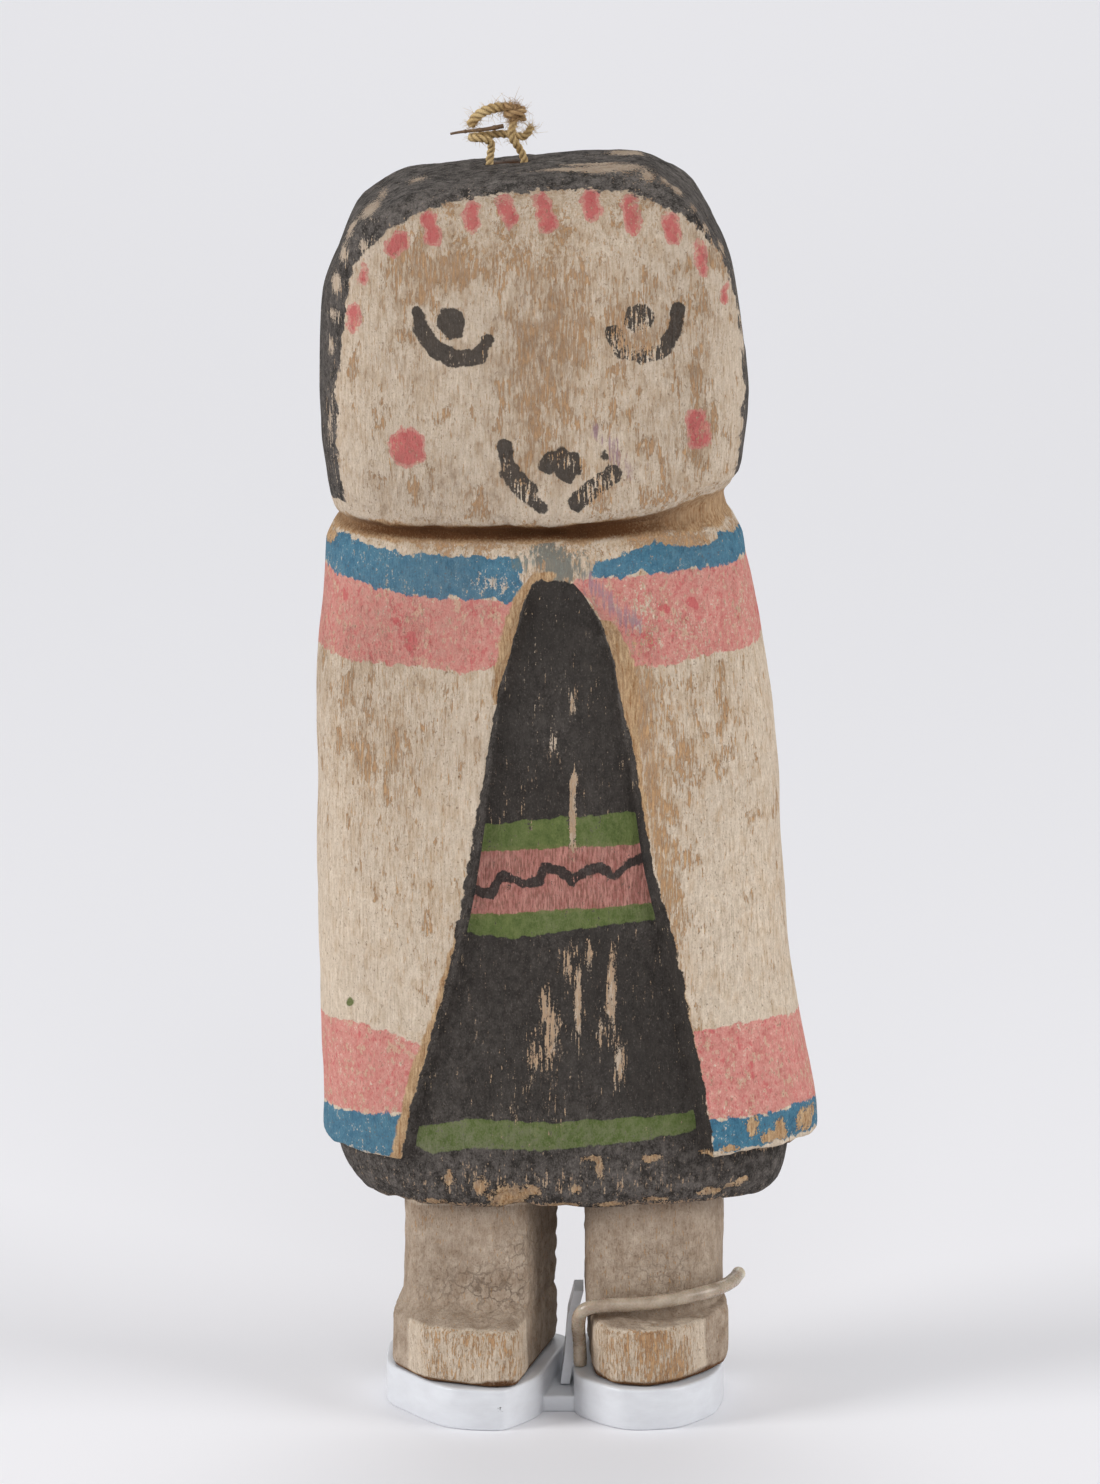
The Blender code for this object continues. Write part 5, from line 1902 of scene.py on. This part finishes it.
@dataclass
class TwineLoop:
    """Three-strand twine: its tail, the turn round the twig, the channel, knot and arch."""

    diameter: float = 1.15
    head_left: Place = (-21.5, 180.1)
    head_right: Place = (-3.0, 182.6)
    hole_left: Place = (-9.0, 6.0)
    hole_right: Place = (-3.9, 6.0)
    hole_depth: float = 3.0
    tail: Route = (
        (-2.7, 7.6, 187.1), (-3.7, 7.6, 185.7), (-5, 7.6, 185.7), (-7.2, 7.5, 186),
        (-9.4, 7.4, 185.8), (-11, 7, 185.7), (-11.7, 6.1, 185.7), (-11, 5.2, 185.7),
        (-9.7, 5, 185.6), (-8.8, 5.4, 184.9), (-8.8, 5.9, 183.6),
    )
    rise: Route = (
        (-4.6, 5.8, 184.1), (-5.7, 5.5, 185.9), (-5.5, 5.6, 187.6), (-5.2, 6, 189.6),
        (-7.4, 6.2, 190.2), (-9.9, 6.2, 189.5), (-11.4, 6.2, 188.2), (-11.7, 6.2, 187.3),
    )
    knot_at: Place = (-5.2, 6.0, 189.6)
    knot_reach: float = 1.5
    knot_radii: Place = (1.2, 0.95)
    knot_bottom: float = -1.05
    knot_height: float = 2.0
    knot_turns: float = 1.7
    knot_thickness: float = 1.12
    knot_stations: int = 70
    knot_sides: int = 16
    arch_swell: float = 0.30
    strands: int = 3
    lay_length: float = 2.9
    sides: int = 30
    stations: int = 230
    bore_stations: int = 26
    fray_count: int = 1300
    fray_bottom: float = 184.6
    hair_radii: Place = (0.034, 0.010)
    hair_stations: int = 7
    hair_sides: int = 4
    seed: int = 41

    def head_top(self, x: float) -> float:
        """Height of the head's flat top at this x."""
        (x0, z0), (x1, z1) = self.head_left, self.head_right
        return z0 + (x - x0) * (z1 - z0) / (x1 - x0)

    def channel(self) -> Route:
        """Leads the twine inside the head, from one hole to the other.

        Returns:
            The route's points.
        """
        (left, y), (right, _) = self.hole_left, self.hole_right
        span = right - left
        floor = self.head_top((left + right) / 2) - self.hole_depth
        return (
            (left, y, self.head_top(left)),
            (left + span * 0.06, y, floor + self.hole_depth * 0.4),
            (left + span * 0.3, y, floor + 0.2),
            (right - span * 0.3, y, floor + 0.2),
            (right - span * 0.02, y, floor + self.hole_depth * 0.4),
            (right, y, self.head_top(right)),
        )

    def bore_route(self) -> np.ndarray:
        """The channel's route, carried on into the air above both holes."""
        return smooth_route((self.tail[-1], *self.channel(), self.rise[0]), self.bore_stations)

    def build(self, bench: Workbench, finish: bpy.types.Material) -> None:
        """Args:
            bench: Makes the pieces.
            finish: The plant fibre.
        """
        centre = smooth_route((*self.tail, *self.channel(), *self.rise), self.stations)
        lengths = run_lengths(centre)
        near_knot = np.linalg.norm(centre - np.array(self.knot_at), axis=1) / self.knot_reach
        swell = self.swell(lengths, near_knot)
        lobes = self.lobes(lengths, self.sides)
        radius = self.diameter / 2 * swell[:, None] * (0.60 + 0.46 * lobes**0.7)
        rust = np.repeat(np.clip(1.6 - near_knot, 0, 1), self.sides)
        kept = {"lay": self.hollows(lobes), "rust": np.concatenate([rust, (0.0, 0.0)])}
        twine = bench.piece("twisted_twine", *tube(centre, radius), kept)
        bench.dress(twine, finish, Slot.FIBRE, "twine_loop")
        knot = bench.dress(self.knot(bench), finish, Slot.FIBRE)
        fray = bench.dress(self.fray(bench, centre), finish, Slot.FIBRE)
        path = bench.world(centre)
        exit_point = bench.world(np.array([self.channel()[-1]]))[0]
        LOG.info("twine: %.1f mm long", lengths[-1])

    def swell(self, lengths: np.ndarray, near_knot: np.ndarray) -> np.ndarray:
        """Works out where the twine is thicker or thinner than elsewhere.

        Args:
            lengths: How far along the twine each point lies.
            near_knot: Its distance from the knot, as a share of the knot's reach.

        Returns:
            Its thickness there, as a share of the twine's own.
        """
        whole = lengths[-1]
        swell = 1 + 0.35 * np.clip(1 - near_knot, 0, 1)
        swell += self.arch_swell * np.clip((lengths - whole + 8.0) / 3.0, 0, 1)
        swell *= np.interp(lengths, (0, 0.8, whole - 0.6, whole), (0.7, 1, 1, 0.75))
        inside = (lengths > whole * 0.46) & (lengths < whole * 0.66)
        return np.where(inside, np.minimum(swell, 1.0), swell)

    def lobes(self, lengths: np.ndarray, sides: int) -> np.ndarray:
        """From the hollows between the twisted strands (0) to their backs (1), ring by ring."""
        turn = around(sides)[None, :] - 2 * math.pi * lengths[:, None] / self.lay_length
        return np.abs(np.cos(self.strands * turn / 2))

    @staticmethod
    def hollows(lobes: np.ndarray) -> np.ndarray:
        """How much painted shade the lay gets at each point of the tube, its two end points last.
        """
        return np.concatenate([(1 - lobes).reshape(-1) ** 1.4, (0.5, 0.5)])

    def knot(self, bench: Workbench) -> bpy.types.Object:
        """Ties the twine round itself in tight turns.

        Args:
            bench: Makes the piece.

        Returns:
            The knot.
        """
        turn = np.linspace(0, 2 * self.knot_turns * math.pi, self.knot_stations)
        across, along = self.knot_radii
        rise = self.knot_bottom + self.knot_height * turn / turn[-1]
        route = np.stack([across * np.cos(turn), along * np.sin(turn), rise], axis=1)
        lobes = self.lobes(turn, self.knot_sides)
        radius = self.knot_thickness / 2 * (0.66 + 0.40 * lobes)
        vertices, faces = tube(np.array(self.knot_at) + route, radius)
        kept = {"lay": self.hollows(lobes), "rust": np.full(len(vertices), 0.8)}
        return bench.piece("twine_knot", vertices, faces, kept)

    def fray(self, bench: Workbench, centre: np.ndarray) -> bpy.types.Object:
        """Adds loose hairs, most of them on the arch, the knot and the ends.

        Args:
            bench: Makes the piece.
            centre: The points of the twine's middle line.

        Returns:
            All hairs as one piece.
        """
        random = np.random.default_rng(self.seed)
        above = np.flatnonzero(centre[:, 2] > self.fray_bottom)
        far = np.linalg.norm(centre[above] - np.array(self.knot_at), axis=1)
        weight = np.where(above > self.stations * 0.7, 2.2, 1.0)
        weight = np.where((above < 6) | (above > self.stations - 8), 5.0, weight)
        weight = weight + 7.0 * bell(far, 1.3)
        starts = random.choice(above, self.fray_count, p=weight / weight.sum())
        vertices, faces, rust, base = [], [], [], 0
        for start in starts:
            near = math.exp(-float(np.sum((centre[start] - np.array(self.knot_at)) ** 2)) / 2.4)
            out = random.normal(size=3) * (1.0, 0.8, 0.9)
            out /= np.linalg.norm(out)
            bend = random.normal(size=3) * 0.8
            curl = random.normal(size=3) * 0.5
            reach = random.uniform(0.2, 0.8) + 0.7 * random.random() ** 8
            shares = np.linspace(0, 1, self.hair_stations)
            spine = centre[start] + out * (self.diameter * 0.3 + 0.85 * near)
            spine = spine + np.outer(shares * reach, out) + np.outer(shares**2 * reach, bend)
            spine = spine + np.outer(np.sin(shares * 3.0) * reach * 0.3, curl)
            thick = np.linspace(*self.hair_radii, self.hair_stations)[:, None]
            thick = thick * np.ones((1, self.hair_sides))
            points, sides = tube(spine, thick)
            vertices.append(points)
            faces += [tuple(base + corner for corner in side) for side in sides]
            rust += [near] * len(points)
            base += len(points)
        all_points = np.vstack(vertices)
        kept = {"lay": np.zeros(len(all_points)), "rust": np.array(rust)}
        return bench.piece("twine_fray", all_points, faces, kept)


@dataclass
class Twig:
    """The thin stem caught in the twine."""

    tip: Place = (-14.8, 5.4, 186.3)
    butt: Place = (-6.9, 6.4, 187.3)
    tip_diameter: float = 0.36
    butt_diameter: float = 0.7
    knots_at: Place = (0.28, 0.55, 0.83)

    def build(self, bench: Workbench, finish: bpy.types.Material) -> None:
        """Makes a slightly crooked stem with small knots along it.

        Args:
            bench: Makes the piece.
            finish: The bark.
        """
        share = np.linspace(0, 1, 46)[:, None]
        spine = np.array(self.tip) * (1 - share) + np.array(self.butt) * share
        spine[:, 2] += 0.07 * np.sin(share[:, 0] * 7.0)
        spine[:, 1] += 0.05 * np.cos(share[:, 0] * 9.0)
        thick = self.tip_diameter + (self.butt_diameter - self.tip_diameter) * share
        knots = sum(0.10 * bell(share - at, 0.02) for at in self.knots_at)
        ribs = 1 + 0.05 * np.cos(around(12) * 3 + 1.0)[None, :]
        stem = bench.piece("dry_twig", *tube(spine, (thick / 2 + knots) * ribs))
        bench.dress(stem, finish, Slot.STEM, "twig")


@dataclass
class WireClip:
    """The sleeved wire that rises from the right lobe and bends round the ankle."""

    diameter: float = 2.1
    route: Route = (
        (4.6, -9, 0), (4.5, -9.6, 3.4), (4.3, -12, 7.2), (4.7, -14.2, 9.7), (6.2, -15, 10.8),
        (8.6, -15.2, 11.2), (12.4, -15.2, 11.3), (17, -14.6, 11.6), (21.7, -12.7, 12),
        (25.3, -9.9, 12.2), (27.6, -5.9, 12.2), (28.9, -1.7, 12.4),
    )
    joint_at: float = 0.09
    tip_share: float = 0.055
    stations: int = 220
    sides: int = 28

    def build(self, bench: Workbench, finish: bpy.types.Material) -> None:
        """Bends the sleeve, with its joint low down and its rounded cut end.

        Args:
            bench: Makes the piece.
            finish: The sleeve.
        """
        spine = smooth_route(self.route, self.stations)
        share = np.linspace(0, 1, self.stations)
        swell = 1 + 0.02 * np.sin(share * 37) + 0.015 * np.sin(share * 91)
        swell = swell - 0.10 * bell(share - self.joint_at, 0.006)
        swell = swell - 0.04 * (share < self.joint_at)
        end = np.clip((share - 0.985) / 0.015, 0, 1)
        swell = swell * np.sqrt(np.clip(1 - 0.75 * end**2, 0, 1))
        radius = self.diameter / 2 * swell[:, None] * np.ones((1, self.sides))
        pale = np.repeat(np.clip((share - 1 + self.tip_share) / 0.02, 0, 1), self.sides)
        kept = {"tip": np.concatenate([pale, (0.0, 1.0)])}
        wire = bench.piece("sleeved_wire", *tube(spine, radius), kept)
        bench.dress(wire, finish, Slot.SLEEVE, "wire_clip")


@dataclass
class Mount:
    """The white metal mount: two sawn and filed lobes, their thin bridge and its upright."""

    left_lobe: Route = (
        (-25, -7.3), (-17.7, -18.2), (-14.2, -21), (-7.9, -21.9), (-6.2, -21), (-1.7, -14.9),
        (2.6, 4), (2.4, 8), (-5, 10), (-20, 9.4), (-24.6, 5.6),
    )
    right_lobe: Route = (
        (3.6, -13.7), (8.9, -19.8), (12.5, -21.8), (19.6, -20.5), (25, -13.6), (26.4, -6.7),
        (26.6, 5.8), (23.5, 9.6), (9, 10), (4.4, 8), (3.6, 2),
    )
    bridge: Route = (
        (-6, -12), (9, -12), (9, 11.5), (6, 15.5), (-3, 15.5), (-6, 11.5),
    )
    lobe_height: float = 6.35
    bridge_height: float = 2.5
    # (height from the nearer face, how far the edge is drawn in)
    edge: Route = ((0.0, 0.9), (0.0, 0.35), (0.10, 0.10), (0.35, 0.0))
    filed: float = 3.0
    filed_share: float = 0.45
    columns: int = 160

    def plate(self, bench: Workbench, corners: Route, height: float) -> bpy.types.Object:
        """Makes a plate with filed corners and softened edges.

        Args:
            bench: Makes the piece.
            corners: The outline's corners.
            height: The plate's thickness.

        Returns:
            The plate, which lies on the floor.
        """
        shape = soft_outline(corners, self.filed, self.columns, self.filed_share)
        middle = shape.mean(axis=0)
        reach = np.linalg.norm(shape - middle, axis=1).max()
        levels = [*self.edge, (height / 2, 0.0)]
        levels += [(height - rise, inset) for rise, inset in reversed(self.edge)]
        rings = []
        for level, inset in levels:
            drawn = middle + (shape - middle) * (1 - inset / reach)
            rings.append(np.column_stack([drawn, np.full(len(drawn), level)]))
        return bench.piece("white_mount", *loft(rings), lift=0.0)

    def build(self, bench: Workbench, finish: bpy.types.Material) -> None:
        """Joins the lobes and the bridge in one piece, and paints it and the upright.

        Args:
            bench: Makes the piece.
            finish: The white paint.
        """
        mount = self.plate(bench, self.left_lobe, self.lobe_height)
        right = self.plate(bench, self.right_lobe, self.lobe_height)
        bench.combine(mount, right, "UNION")
        bench.combine(mount, self.plate(bench, self.bridge, self.bridge_height), "UNION")
        mount.data.shade_smooth()
        bench.dress(mount, finish, Slot.METAL, "mount_base")
        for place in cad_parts["mount_post"].material_slots:
            place.material = finish


def main() -> None:
    """Builds the studio, the twine, the doll and its mount, and logs the twine's length and the
    doll's face count.
    """
    logging.basicConfig(level=logging.INFO)
    bench = Workbench()
    Studio().build(bench.origin)
    doll = CarvedDoll()
    twine = TwineLoop()
    twine.build(bench, PlantFibre().build())
    Twig().build(bench, DryStem().build())
    LOG.info("twine and twig built")
    made = doll.build(bench, DollPaint(), PaintedWood().build(), twine.bore_route())
    LOG.info("doll built: %d faces", len(made.data.polygons))
    WireClip().build(bench, SleevedWire().build())
    Mount().build(bench, WhiteMetal().build(bench.origin))
    LOG.info("wire and mount built")


if __name__ == "__main__":
    main()
